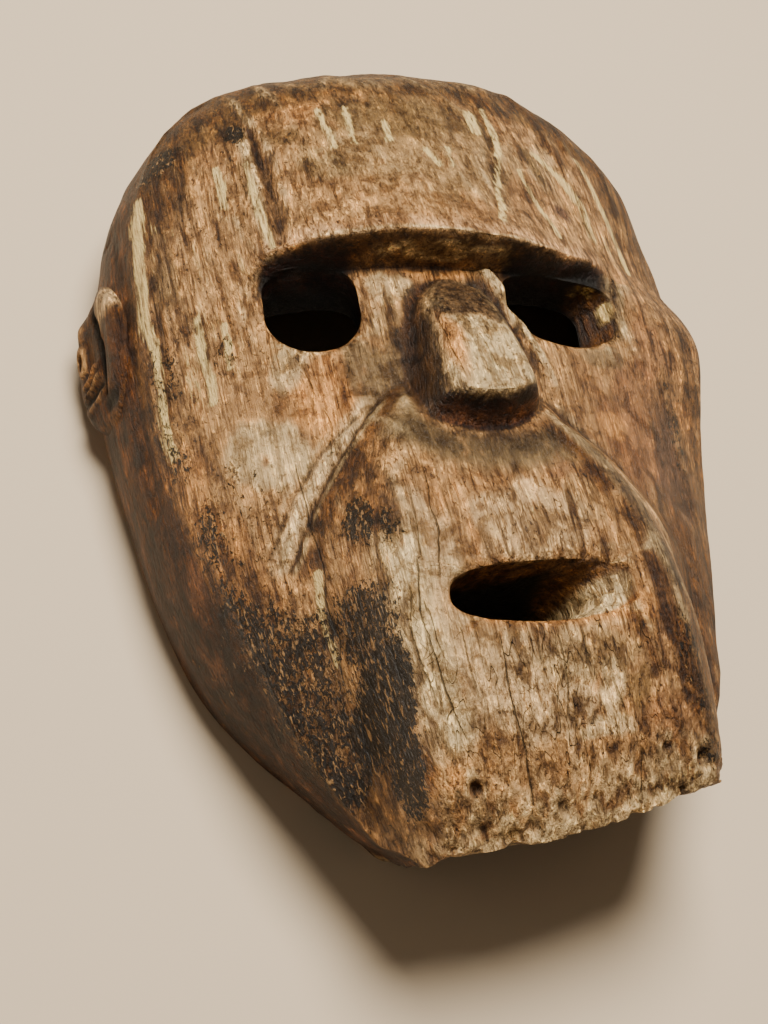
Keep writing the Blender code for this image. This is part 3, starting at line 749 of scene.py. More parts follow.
# Polished and finely cracked places: centre, half size, strength
WORN_SPOTS = (((3, 0), (12, 14), 0.4), ((-22, -66), (12, 34), 0.7), ((-20, 4), (9, 20), 0.9),
              ((-52, -4), (16, 18), 0.7), ((52, -10), (22, 40), 0.7), ((6, 80), (30, 40), 0.5))
CHECK_SPOTS = (((0, -82), (44, 34), 1.0), ((2, 2), (12, 16), 0.7), ((-60, 50), (20, 60), 0.5))


def patch(x, y, centre, size, turn, mottle):
    """A spot whose edge is broken up by mottling."""
    return ramp(spot(x, y, centre, size, turn) + 1.2 * (mottle - 0.5), 0.22, 0.72)


def paint_front(points, normals, depth, tone):
    """Ground colour with painted shade and painted highlights, soot, bare wood, polish and cracking over the
    outer surface.
    """
    x, y = points[..., 0], points[..., 1]
    drift_x = x + 6 * (layers(points, (11, 15, 11), 61, 3) - 0.5)
    drift_y = y + 9 * (layers(points, (11, 15, 11), 67, 3) - 0.5)
    mottle = layers(points, (7, 16, 9), 71, 4)
    patchy = layers(points, (3.2, 6.5, 4), 73, 3)
    ground = np.broadcast_to(tone["brown"], points.shape)
    ground = mix(ground, tone["tan"], ramp(mottle, 0.38, 0.62) * 0.7)
    for name, centre, size, turn, strength in WASHES:
        ground = mix(ground, tone[name], strength * patch(drift_x, drift_y, centre, size, turn, patchy))
    for name, line, width, strength in BANDS:
        near = trail(x + 0.25 * (drift_x - x), y, line, width)
        ground = mix(ground, tone[name], strength * near * ramp(patchy, 0.15, 0.4))
    chin = chin_share(x, y)
    ground = mix(ground, tone["cream"], 0.55 * chin * ramp(patchy, 0.4, 0.62))
    ground = mix(ground, tone["umber"], 0.60 * chin * ramp(-patchy, -0.46, -0.34))
    inside = edge_distance(x, y)
    over_crown = 10 * ramp(y, 92, 108)
    bevel = ramp(inside - over_crown, 17.0, 9.0) * ramp(y, 62, 84)
    ground = mix(ground, tone["olive"], 0.85 * bevel)
    ground = mix(ground, tone["umber"], bevel * (0.40 + 0.45 * ramp(patchy, 0.42, 0.58)))
    rolled = ramp(inside, 14.0, 3.0) * (1 - 0.75 * spot(x, y, (-74, -12), (14, 30)))
    ground = mix(ground, tone["umber"], rolled * (0.35 + 0.45 * ramp(patchy, 0.35, 0.6)) * (1 - 0.8 * chin))
    ground = mix(ground, tone["umber"], ramp(x, 42, 50) * ramp(-y, 12, 42) * ramp(patchy, 0.15, 0.4))
    ground = paint_wall(ground, points, depth, patchy, tone)
    # Painted shade: hollows darkened with soil, less along the left crease band. Ridges lightened with cream,
    # partly wear and partly painted highlight.
    hollow = hollowness(points, normals, 3)
    broad = hollowness(points, normals, 9)
    shade_free_band = trail(x, y, BANDS[CREASE_BAND][1], 5.0)
    painted_hollow_shade = 0.60 * ramp(hollow, 0.05, 0.55) + 0.30 * ramp(broad, 0.6, 3.0)
    ground = mix(ground, tone["soil"], painted_hollow_shade * (1 - 0.9 * shade_free_band))
    ground = mix(ground, tone["cream"], 0.50 * ramp(-hollow, 0.08, 0.50) * ramp(inside, 3.0, 12.0))
    ground = paint_brow(ground, points, tone)
    ground = paint_nose(ground, points, drift_x, drift_y, tone)
    # Painted highlight: orange along the rim of the mouth's lower lip
    lip = np.exp(-np.maximum(opening_distance(MOUTH, x, y), 0.0) / 1.6) * (1 - ramp(depth, 0.0, 0.1))
    ground = mix(ground, tone["orange"], 0.8 * lip * ramp(-y, 58, 66))
    soot = np.zeros(x.shape)
    for centre, size, turn, strength in SOOT_SPOTS:
        soot = np.maximum(soot, strength * spot(drift_x, drift_y, centre, size, turn))
    soot = soot * (1 - 0.9 * ramp(x, -35, -31) * (1 - ramp(x, 20, 30)) * ramp(-y, 44, 52))
    soot = soot * (1 - 0.5 * ramp(depth, 0, 0.15))
    bare = np.zeros(x.shape)
    for line, width in BARE_LINES:
        bare = np.maximum(bare, 0.95 * trail(x + 0.4 * (drift_x - x), y, line, width))
    bare = np.maximum(bare, 0.50 * temple_share(x, y) * ramp(mottle, 0.35, 0.6))
    bare = np.maximum(bare, 0.36 * spot(x, y, (8, 80), (34, 34)) * ramp(mottle, 0.4, 0.65))
    bare = np.maximum(bare, 0.42 * spot(x, y, (3, -44), (18, 14)))
    bare = np.maximum(bare, 0.40 * chin)
    worn = np.maximum(strongest(x, y, WORN_SPOTS), trail(x, y, BANDS[NOSE_BAND][1], 8.0))
    check = strongest(x, y, CHECK_SPOTS)
    split, near = split_lines(points)
    return dict(ground=ground, soot=soot, bare=bare, worn=worn, check=check, split=split, near=near)


def paint_brow(ground, points, tone):
    """The step under the brow: painted shade below and over the eyes, brown above a thin pale split, with a
    painted highlight along the rubbed edge over it.
    """
    x, y = points[..., 0], points[..., 1]
    foot = through(BROW_FOOT, x)
    edge = through(BROW_EDGE, x)
    climb = (y - foot) / (edge - foot)
    reach = (1 - ramp(-x, 43, 48)) * (1 - ramp(x, 52, 60))
    over_eyes = np.maximum(ramp(-x, 20, 24), ramp(x, 20, 25)) * reach
    # Painted shade on the step under the brow: soil low down, umber higher up
    inside = ramp(y, foot - 0.5, foot + 0.1) * (1 - ramp(climb, 0.62, 0.92)) * reach
    ground = mix(ground, tone["soil"], 0.85 * inside * (0.55 + 0.45 * over_eyes))
    ground = mix(ground, tone["umber"], 0.85 * inside * ramp(climb, 0.30, 0.50) * (1 - 0.6 * over_eyes))
    # Painted shade over the eyes: ember and black where the step meets the openings
    above_eyes = ramp(y, 40.5, 42.0) * (1 - ramp(climb, 0.45, 0.80)) * over_eyes
    ground = mix(ground, tone["ember"], above_eyes)
    ground = mix(ground, tone["black"], ramp(y, 40.5, 42.0) * (1 - ramp(climb, 0.05, 0.45)) * over_eyes)
    line = bell(climb - 0.48, 0.07) * ramp(x, -18, -12) * (1 - ramp(x, 16, 26))
    ground = mix(ground, tone["cream"], 0.85 * line * reach)
    # Painted highlight in rose over the brow's edge
    over = ramp(climb, 0.72, 1.0) * (1 - ramp(y - edge, 2.0, 7.0)) * reach
    ground = mix(ground, tone["rose"], 0.8 * over)
    # Painted highlight in cream along the brow's rubbed edge
    rubbed = bell(climb - 1.15, 0.28) * ramp(x, -36, -26) * (1 - ramp(x, 26, 40))
    return mix(ground, tone["cream"], 0.7 * rubbed * reach)


def paint_nose(ground, points, drift_x, drift_y, tone):
    """Dark sides and base: a stain on the left side, painted shade on the right side and under the base. A
    sooty upper face, and a rubbed, silvery lower face with a painted highlight.
    """
    x, y = points[..., 0], points[..., 1]
    side = np.abs(x - through(NOSE_MIDDLE, y)) - through(NOSE_HALF_WIDTH, y)
    low = y - NOSE_BOW * (x - through(NOSE_MIDDLE, y)) ** 2
    within = ramp(low, -13.5, -12.5) * (1 - ramp(y, 38, 40.5))
    flank = (1 - ramp(side, 3.0, 4.4)) * within
    ground = mix(ground, tone["soil"], 0.9 * ramp(side, -2.0, -0.4) * flank * (x < 0))
    # Painted shade on the nose's right side, where it rounds away
    ground = mix(ground, tone["char"], 0.95 * ramp(side, -3.2, -1.4) * flank * (x > 0))
    top = (1 - ramp(side, -2.4, -1.0)) * within * ramp(low, -11.6, -10.6)
    cap = ramp(drift_y + 0.8 * np.maximum(x - 5, 0), 15, 19)
    ground = mix(ground, tone["char"], 0.85 * top * cap)
    ground = mix(ground, tone["silver"], 0.95 * top * (1 - cap))
    ground = mix(ground, tone["orange"], 0.9 * top * spot(drift_x, drift_y, (-5, 8), (3.2, 13)))
    # Painted highlight low on the right of the nose's lower face
    ground = mix(ground, tone["cream"], 0.6 * top * spot(drift_x, drift_y, (7, 2), (7, 10)))
    # Painted shade under the nose's base, with a rust stain along its lower part
    base = (1 - ramp(low, -11.6, -10.6)) * ramp(low, -16.5, -15.0) * (1 - ramp(side, 0.0, 2.0))
    ground = mix(ground, tone["ember"], base)
    ground = mix(ground, tone["rust"], 0.6 * base * (1 - ramp(low, -13.6, -12.2)) * ramp(low, -15.0, -14.0))
    # Painted shade along the foot of the nose's right side
    foot = ramp(side, 2.6, 3.6) * (1 - ramp(side, 4.5, 6.0)) * (x > 0)
    ground = mix(ground, tone["soil"], 0.85 * within * foot)
    ridge = line_distance(x, y, BRIDGE_LINE)
    rubbed = (1 - ramp(ridge, 0.7, 1.8)) * ramp(y, 8, 20) * (1 - ramp(y, 41.5, 43.0))
    return mix(ground, tone["cream"], rubbed)


def paint_wall(ground, points, depth, mottle, tone):
    """The side wall: dark olive brown, streaked, with a paler line along the resting edge."""
    wall = ramp(depth, 0.0, 0.14)
    ground = mix(ground, tone["bark"], 0.96 * wall)
    ground = mix(ground, tone["ember"], 0.6 * wall * ramp(-points[..., 1], 0, 40))
    ground = mix(ground, tone["soil"], 0.7 * wall * ramp(mottle, 0.42, 0.60))
    ground = mix(ground, tone["rust"], 0.5 * wall * ramp(-mottle, -0.42, -0.30))
    return mix(ground, tone["tan"], 0.5 * ramp(depth, 0.95, 0.99))


# What the unpainted places carry
PLAIN = dict(soot=0.12, bare=0.0, worn=0.0, check=0.0, split=0.0, near=0.0)


# Meshes

def grid_places(columns, rows, cells_across, cells_up, rings):
    """Share across, share up and depth down the side wall of each grid point."""
    i, j = np.meshgrid(columns, rows, indexing="ij")
    last_i = cells_across + 2 * rings
    last_j = cells_up + 2 * rings
    ring = np.minimum(np.minimum(i, last_i - i), np.minimum(j, last_j - j))
    ring = np.minimum(ring, rings)
    across = (i - ring) / (last_i - 2 * ring)
    up = (j - ring) / (last_j - 2 * ring)
    return across, up, (rings - ring) / rings


def surface_normals(points):
    """Outward unit normals of a grid of points: the cross product of its two directions."""
    normals = np.cross(np.gradient(points, axis=0), np.gradient(points, axis=1))
    return normals / np.maximum(np.linalg.norm(normals, axis=-1, keepdims=True), 1e-9)


def perimeter(low_i, high_i, low_j, high_j, step=1):
    """Grid points around a block of cells, anticlockwise seen from the front, as two rows of indices."""
    i_up = np.arange(low_i, high_i, step)
    j_up = np.arange(low_j, high_j, step)
    i_down = np.arange(high_i, low_i, -step)
    j_down = np.arange(high_j, low_j, -step)
    i = np.concatenate([i_up, np.full(len(j_up), high_i), i_down, np.full(len(j_down), low_i)])
    j = np.concatenate([np.full(len(i_up), low_j), j_up, np.full(len(i_down), high_j), j_down])
    return i, j


def grid_cells(number, blocks):
    """Cells of a grid of numbered points as quads, with blocks left out, and mitred cells as triangles.

    A cell on the line from a corner of the outline down the wall has three of its points along the
    outline, so it is cut from the corner inwards.
    """
    corners = np.stack([number[:-1, :-1], number[1:, :-1], number[1:, 1:], number[:-1, 1:]], axis=-1)
    i, j = np.meshgrid(np.arange(corners.shape[0]), np.arange(corners.shape[1]), indexing="ij")
    last_i, last_j = corners.shape[0] - 1, corners.shape[1] - 1
    keep = np.ones(i.shape, dtype=bool)
    for low_i, high_i, low_j, high_j in blocks:
        keep[low_i:high_i, low_j:high_j] = False
    mitred = np.minimum(i, last_i - i) == np.minimum(j, last_j - j)
    turned_cell = mitred & ((2 * i < last_i) != (2 * j < last_j))
    corners = np.where(turned_cell[..., None], np.roll(corners, -1, axis=-1), corners)
    split = corners[keep & mitred]
    triangles = np.concatenate([split[:, [0, 1, 2]], split[:, [0, 2, 3]]])
    return corners[keep & ~mitred], triangles


def join_loops(fine, coarse):
    """Triangles between a loop of numbered points and one of half as many."""
    first, middle, last = fine[0::2], fine[1::2], np.roll(fine, -2)[0::2]
    near, far = coarse, np.roll(coarse, -1)
    return np.concatenate([np.stack(face, axis=-1) for face in
                           ((first, middle, near), (middle, far, near), (middle, last, far))])


def ring_quads(rings):
    """Quads between closed rings of numbered points, each ring deeper than the one before."""
    here, there = rings[:-1], rings[1:]
    corners = [here, np.roll(here, -1, axis=1), np.roll(there, -1, axis=1), there]
    return np.stack(corners, axis=-1).reshape(-1, 4)


def fill_mesh(name, points, quads, triangles, attributes, material):
    """A mesh object from arrays: points in millimetres, faces, and values for each point."""
    used = np.unique(np.concatenate([quads.ravel(), triangles.ravel()]))
    renumber = np.zeros(len(points), dtype=int)
    renumber[used] = np.arange(len(used))
    corners = np.concatenate([renumber[quads].ravel(), renumber[triangles].ravel()])
    sizes = np.concatenate([np.full(len(quads), 4), np.full(len(triangles), 3)])
    mesh = bpy.data.meshes.new(name)
    mesh.vertices.add(len(used))
    mesh.vertices.foreach_set("co", ((points[used] - MIDDLE) * MM).ravel())
    mesh.loops.add(len(corners))
    mesh.loops.foreach_set("vertex_index", corners)
    mesh.polygons.add(len(sizes))
    mesh.polygons.foreach_set("loop_start", np.concatenate([[0], np.cumsum(sizes)[:-1]]))
    for key, values in attributes.items():
        if values.ndim == 2:
            layer = mesh.attributes.new(key, "FLOAT_COLOR", "POINT")
            alpha = np.ones((len(used), 1))
            layer.data.foreach_set("color", np.concatenate([values[used], alpha], axis=1).ravel())
        else:
            layer = mesh.attributes.new(key, "FLOAT", "POINT")
            layer.data.foreach_set("value", values[used])
    mesh.update(calc_edges=True)
    mesh.validate()
    mesh.shade_smooth()
    mesh.set_sharp_from_angle(angle=np.radians(SHARP_ANGLE))
    mesh.materials.append(material)
    made = bpy.data.objects.new(name, mesh)
    bpy.context.collection.objects.link(made)
    return made


def tunnel_rings(front, back, shares, opening):
    """Rings of points through an opening, from its front edge nearly to its back edge, roughly cut.

    Point = front + (back - front) * t, pushed about by noise that is nil at the front edge. At the right of
    the mouth the height follows a higher power of t, so that the cut slopes in gently from the front.
    """
    t = shares[:, None, None]
    rings = front + (back - front) * t
    if opening is MOUTH:
        power = 1 + 1.6 * ramp(front[..., 0], 0, 18)
        rings[..., 2] = front[..., 2] + (back[..., 2] - front[..., 2]) * t[..., 0] ** power
    rough = np.stack([layers(rings, (4, 4, 6), seed, 2) - 0.5 for seed in (81, 83, 85)], axis=-1)
    return rings + opening["rough"] * rough * np.sin(np.pi * np.minimum(t * 1.2, 1.0))


def paint_tunnel(rings, shares, opening, tone):
    """Colour of an opening's walls: dark, as painted shade that turns black deeper in, or brown and pale
    where the cut is broad and lit.
    """
    x, y = rings[..., 0], rings[..., 1]
    deep = np.broadcast_to(shares[:, None], x.shape)
    mottle = layers(rings, (3, 3, 4), 91, 3)
    if opening is MOUTH:
        ground = np.broadcast_to(tone["umber"], rings.shape)
        ground = mix(ground, tone["brown"], ramp(y, -62, -57) * ramp(mottle, 0.35, 0.6) * 0.7)
        # Painted highlight in tan along the lower lip's rounded front
        ground = mix(ground, tone["tan"], 0.85 * ramp(-y, 65, 68) * (1 - ramp(deep, 0.05, 0.3)))
        # Painted shade: black deep in the mouth
        ground = mix(ground, tone["black"], ramp(deep, 0.28, 0.5) * (1 - ramp(x, 5, 12)))
        pale = ramp(x, 6, 13) * (1 - ramp(y, -60.5, -58.5))
        ground = mix(ground, tone["cream"], 0.9 * pale * ramp(mottle, 0.25, 0.45))
        return mix(ground, tone["soil"], pale * ramp(-mottle, -0.40, -0.32))
    # Painted shade on the eyes' walls: ember and soil, black deeper in
    ground = mix(np.broadcast_to(tone["ember"], rings.shape), tone["soil"], ramp(mottle, 0.5, 0.7))
    ground = mix(ground, tone["black"], ramp(deep, 0.30, 0.75))
    # The right eye's broad outer wall, lit: umber and straw streaks in place of the painted shade
    lit = ramp(x, 43, 50) * (1 - ramp(deep, 0.85, 1.0))
    ground = mix(ground, tone["umber"], lit)
    return mix(ground, tone["straw"], 0.8 * lit * ramp(mottle, 0.5, 0.65) * (1 - ramp(deep, 0.3, 0.5)))


def worked_front(across, up, depth, sizes):
    """Points of the front and side wall with the swell of the right side and the hand work cut in."""
    smooth = outer_surface(across, up, depth)
    aside = (smooth[..., 0] - through(MIDDLE_X, smooth[..., 1])) / through(HALF_WIDTH, smooth[..., 1])
    swell = through(SWELL, smooth[..., 1]) * ramp(aside, SWELL_FROM, 1.0)
    smooth[..., 0] += swell * (1 - ramp(depth, 0.3, 0.95))
    settle = 1 - ramp(depth, 0.9, 1.0)
    cut = carved_away(smooth, sizes) * settle
    outer = smooth - surface_normals(smooth) * cut[..., None]
    low = np.array(CAD_LOW) / MM + MIDDLE
    high = np.array(CAD_HIGH) / MM + MIDDLE
    outer = np.clip(outer, low, high)
    outer[..., 2] *= depth < 1
    return outer


def gouged_hollow(across, up, depth):
    """Points of the hollow with the marks of a gouge, which fade towards the resting edge."""
    inner = inner_surface(across, up, depth)
    marks = np.abs(2 * noise(turned(inner, 20), (7, 16, 9), 97) - 1)
    marks = GOUGE_DEPTH * marks * (1 - ramp(depth, 0.7, 1.0))
    inner = inner - surface_normals(inner) * marks[..., None]
    inner[..., 2] = np.maximum(inner[..., 2], 0.0) * (depth < 1)
    return inner


def paint_hollow(inner, tone):
    """Colour of the hollow: dark brown, and black painted shade around the openings."""
    ground = np.broadcast_to(tone["soil"], inner.shape)
    ground = mix(ground, tone["umber"], layers(inner, (12, 20, 12), 99, 3) * 0.9)
    # Painted shade: black round the openings, seen through them
    for _, opening in WINDOWS:
        away = opening_distance(opening, inner[..., 0], inner[..., 1], "back")
        ground = mix(ground, tone["black"], 1 - ramp(away, 3.0, 9.0))
    return ground


def mask_arrays(sizes, tone):
    """All points, faces and painted values of the mask, without its ears."""
    counts = (sizes.cells_across, sizes.cells_up, sizes.wall_rings)
    across_count, up_count, rings = counts
    last_i = across_count + 2 * rings
    last_j = up_count + 2 * rings
    fine = grid_places(np.arange(last_i + 1), np.arange(last_j + 1), *counts)
    coarse = grid_places(np.arange(0, last_i + 1, 2), np.arange(0, last_j + 1, 2), *counts)
    outer = worked_front(*fine, sizes)
    inner = gouged_hollow(*coarse)

    outer_number = np.arange(outer[..., 0].size).reshape(outer.shape[:2])
    inner_number = outer_number.size + np.arange(inner[..., 0].size).reshape(inner.shape[:2])
    blocks = []
    for (left, right, low, high), opening in WINDOWS:
        edges = (left * across_count, right * across_count, low * up_count, high * up_count)
        blocks.append(tuple(int(round(edge)) + rings for edge in edges))
    quads, triangles = grid_cells(outer_number, blocks)
    inner_quads, inner_triangles = grid_cells(inner_number, [tuple(edge // 2 for edge in b) for b in blocks])
    quads = np.concatenate([quads, inner_quads[:, ::-1]])
    triangles = np.concatenate([triangles, inner_triangles[:, ::-1]])

    rim = join_loops(outer_number[perimeter(0, last_i, 0, last_j)],
                     inner_number[perimeter(0, last_i // 2, 0, last_j // 2)])
    triangles = np.concatenate([triangles, rim[:, ::-1]])

    painted = paint_front(outer, surface_normals(outer), fine[2], tone)
    hollow = paint_hollow(inner, tone)
    points = [outer.reshape(-1, 3), inner.reshape(-1, 3)]
    values = {}
    for key, value in painted.items():
        flat = value.reshape(-1, 3) if key == "ground" else value.ravel()
        plain = hollow.reshape(-1, 3) if key == "ground" else np.full(inner_number.size, PLAIN[key])
        values[key] = [flat, plain]
    total = outer_number.size + inner_number.size
    shares = np.arange(1, sizes.tunnel_rings + 1) / (sizes.tunnel_rings + 1)
    for block, (window, opening) in zip(blocks, WINDOWS):
        i, j = perimeter(*block)
        front = outer[i, j]
        back = inner_surface(*(places[i, j] for places in fine))
        tunnel = tunnel_rings(front, back, shares, opening)
        numbers = total + np.arange(tunnel[..., 0].size).reshape(tunnel.shape[:2])
        total += numbers.size
        quads = np.concatenate([quads, ring_quads(np.concatenate([outer_number[i, j][None], numbers]))])
        back_loop = inner_number[perimeter(*(edge // 2 for edge in block))]
        triangles = np.concatenate([triangles, join_loops(numbers[-1], back_loop)])
        points.append(tunnel.reshape(-1, 3))
        values["ground"].append(paint_tunnel(tunnel, shares, opening, tone).reshape(-1, 3))
        for key, plain in PLAIN.items():
            values[key].append(np.full(numbers.size, plain))
    attributes = {key: np.concatenate(parts) for key, parts in values.items()}
    return np.concatenate(points), quads, triangles, attributes


def ear_relief(share, turn):
    """Relief of an ear over its oval: the plain shell's height, and the carving that is added to it.

    The carving is a sum of rings, bars and flutes: a looped knot in the middle, a bar and a tongue below it,
    a ridge above, a long hollow beside the ridge, a gap in front and a notch at the foot. u runs up the ear
    and v towards the face, both from -1 to 1.
    """
    u = share * np.cos(turn)
    v = share * np.sin(turn)
    shell = EAR_MIDDLE - EAR_TILT * v + through(EAR_RELIEF, share)
    taper = (1 - 0.60 * ramp(u, 0.55, 1.05)) * (1 - 0.55 * ramp(-u, 0.60, 1.05))
    knot = np.hypot(u - 0.20, v + 0.60)
    behind = 1 - ramp(v, 0.05, 0.2)
    gap = bell(v - 0.30 + 0.37 * np.maximum(u, 0), 0.09) * ramp(u, -0.60, -0.50) * (1 - ramp(u, 0.85, 0.95))
    bars = bell(u + 0.09 - 0.1 * v, 0.045) + 0.8 * bell(u + 0.22 - 0.1 * v, 0.04)
    lobe = bell(v + 0.48, 0.17) * ramp(u, 0.36, 0.48) * (1 - ramp(u, 0.62, 0.8))
    strap = bell(u + 0.50 - 0.1 * v, 0.06) * (1 - ramp(np.abs(v + 0.1), 0.4, 0.55))
    carving = -3.4 * gap + 2.0 * bell(knot - 0.16, 0.06) - 1.8 * (1 - ramp(knot, 0.05, 0.11))
    carving = carving + 1.6 * bars * behind * ramp(v, -0.75, -0.6) + 1.2 * lobe + 1.2 * strap
    carving = carving - 1.4 * bell(u + 0.70, 0.09) * ramp(v, 0.0, 0.2)
    carving = carving - 1.2 * bell(u + 0.36, 0.05) * behind
    return shell * taper, carving * (1 - ramp(share, 0.93, 1.0))


def ear_arrays(ear, sizes, tone):
    """Points, faces and painted values of one ear: rings from a pole, over the rim and down to a root."""
    side = ear["side"]
    middle_y, middle_z = ear["centre"]
    shares = np.concatenate([np.linspace(0.02, 1.0, sizes.ear_rings), [1.0]])
    turn = np.arange(sizes.ear_segments) * 2 * np.pi / sizes.ear_segments
    share, turn = np.meshgrid(shares, turn, indexing="ij")
    y = middle_y + EAR_HALF_SIZE[0] * share * np.cos(turn)
    z = middle_z + EAR_HALF_SIZE[1] * share * np.sin(turn)
    shell, carving = ear_relief(share, turn)
    proud = shell + carving - 0.5 * noise(np.stack([y, z, y * 0], axis=-1), (4, 3, 3), 101)
    proud[-1] = -EAR_ROOT
    wall = through(ear["wall"], z) + through(HALF_WIDTH, y) - through(HALF_WIDTH, middle_y)
    furthest = -(CAD_LOW[0] / MM + MIDDLE[0]) if side < 0 else CAD_HIGH[0] / MM + MIDDLE[0]
    rings = np.stack([side * soft_min(wall + proud, furthest, EAR_SOFT), y, z], axis=-1)
    tip = rings[0].mean(axis=0)
    root = rings[-1].mean(axis=0)
    points = np.concatenate([rings.reshape(-1, 3), [tip, root]])
    number = np.arange(share.size).reshape(share.shape)
    quads = ring_quads(number[::-1])
    after = np.roll(number, -1, axis=1)
    tip_fan = np.stack([number[0], after[0], np.full(number.shape[1], share.size)], axis=-1)
    root_fan = np.stack([after[-1], number[-1], np.full(number.shape[1], share.size + 1)], axis=-1)
    triangles = np.concatenate([tip_fan, root_fan])
    if side < 0:
        quads = quads[:, ::-1]
        triangles = triangles[:, ::-1]
    mottle = layers(points, (5, 7, 5), 103, 3)
    ground = mix(np.broadcast_to(tone["bark"], points.shape), tone["umber"], ramp(mottle, 0.35, 0.6))
    # Painted highlight in tan on the raised carving. Painted shade in black in its hollows and at the root
    # along the wall.
    lifted = np.concatenate([ramp(carving, 0.3, 1.3).ravel(), [0.0, 0.0]])
    sunk = np.concatenate([ramp(-carving, 0.15, 0.9).ravel(), [0.0, 1.0]])
    ground = mix(ground, tone["tan"], 0.75 * lifted)
    low_y, low_z = points[:, 1] - middle_y, points[:, 2] - middle_z
    ground = mix(ground, tone["orange"], 0.8 * lifted * spot(low_y, low_z, (-2.5, -3), (2.5, 7)))
    # Painted highlight on the upper front edge of the ear
    ground = mix(ground, tone["pale"], 0.8 * spot(low_y, low_z, (15, 7.5), (8, 4)))
    # Painted shade in a hollow low on the ear's front half
    ground = mix(ground, tone["soil"], 0.7 * spot(low_y, low_z, (-4, 10), (10, 4)))
    ground = mix(ground, tone["black"], 0.95 * sunk)
    attributes = {key: np.full(len(points), plain) for key, plain in PLAIN.items()}
    return points, quads, triangles, dict(attributes, ground=ground)


# Shader maths

class Wire:
    """A shader value: arithmetic on it adds Math nodes."""

    def __init__(self, sheet, socket):
        self.sheet = sheet
        self.socket = socket

    def maths(self, operation, first, second):
        return self.sheet.node("ShaderNodeMath", {"operation": operation}, {0: first, 1: second})

    def __add__(self, other):
        return self.maths("ADD", self, other)

    def __radd__(self, other):
        return self.maths("ADD", other, self)

    def __sub__(self, other):
        return self.maths("SUBTRACT", self, other)

    def __rsub__(self, other):
        return self.maths("SUBTRACT", other, self)

    def __mul__(self, other):
        return self.maths("MULTIPLY", self, other)

    def __rmul__(self, other):
        return self.maths("MULTIPLY", other, self)

    def greatest(self, other):
        return self.maths("MAXIMUM", self, other)

    def __abs__(self):
        return self.maths("ABSOLUTE", self, 0.0)


class Sheet:
    """A material's node tree, to which one method adds any node."""

    def __init__(self, tree):
        self.tree = tree

    def node(self, kind, settings=None, inputs=None, output=0):
        made = self.tree.nodes.new(kind)
        for name, value in (settings or {}).items():
            setattr(made, name, value)
        for key, value in (inputs or {}).items():
            if isinstance(value, Wire):
                self.tree.links.new(value.socket, made.inputs[key])
            else:
                made.inputs[key].default_value = value
        return Wire(self, made.outputs[output])

    def rise(self, value, low, high):
        """0 below low, 1 above high, with an S-shaped rise between them."""
        settings = {"interpolation_type": "SMOOTHSTEP"}
        return self.node("ShaderNodeMapRange", settings, {0: value, 1: low, 2: high})

    def blend(self, share, first, second, mode="MIX"):
        """Two colours mixed by a share."""
        settings = {"data_type": "RGBA", "blend_type": mode, "clamp_factor": True}
        return self.node("ShaderNodeMix", settings, {0: share, 6: first, 7: second}, 2)

    def noise(self, place, scale, detail, roughness, distortion=0.0):
        """Noise over a place, from 0 to 1."""
        inputs = {"Vector": place, "Scale": scale, "Detail": detail, "Roughness": roughness,
                  "Distortion": distortion}
        return self.node("ShaderNodeTexNoise", {"normalize": True}, inputs)

    def stretched(self, place, scale, turn=0.0):
        """A place scaled along X, Y and Z, after a turn about Z in degrees."""
        inputs = {"Vector": place, "Rotation": (0.0, 0.0, np.radians(turn)), "Scale": scale}
        return self.node("ShaderNodeMapping", {"vector_type": "POINT"}, inputs)

    def attribute(self, name, output="Fac"):
        """A value painted on the mesh's points."""
        return self.node("ShaderNodeAttribute", {"attribute_name": name}, {}, output)


def colour(shade):
    """A shade as a shader colour."""
    return (*shade, 1.0)


# What the grain's patterns multiply the ground colour by
DARKER_CLOUD = (0.44, 0.38, 0.31, 1.0)
LIGHTER_CLOUD = (1.50, 1.46, 1.38, 1.0)
DARKER_STRAND = (0.33, 0.27, 0.20, 1.0)
LIGHTER_STRAND = (1.75, 1.70, 1.60, 1.0)
DARKER_FIBRE = (0.38, 0.32, 0.25, 1.0)
LIGHTER_FLECK = (2.3, 2.3, 2.1, 1.0)
DARKER_GRIT = (0.20, 0.16, 0.12, 1.0)


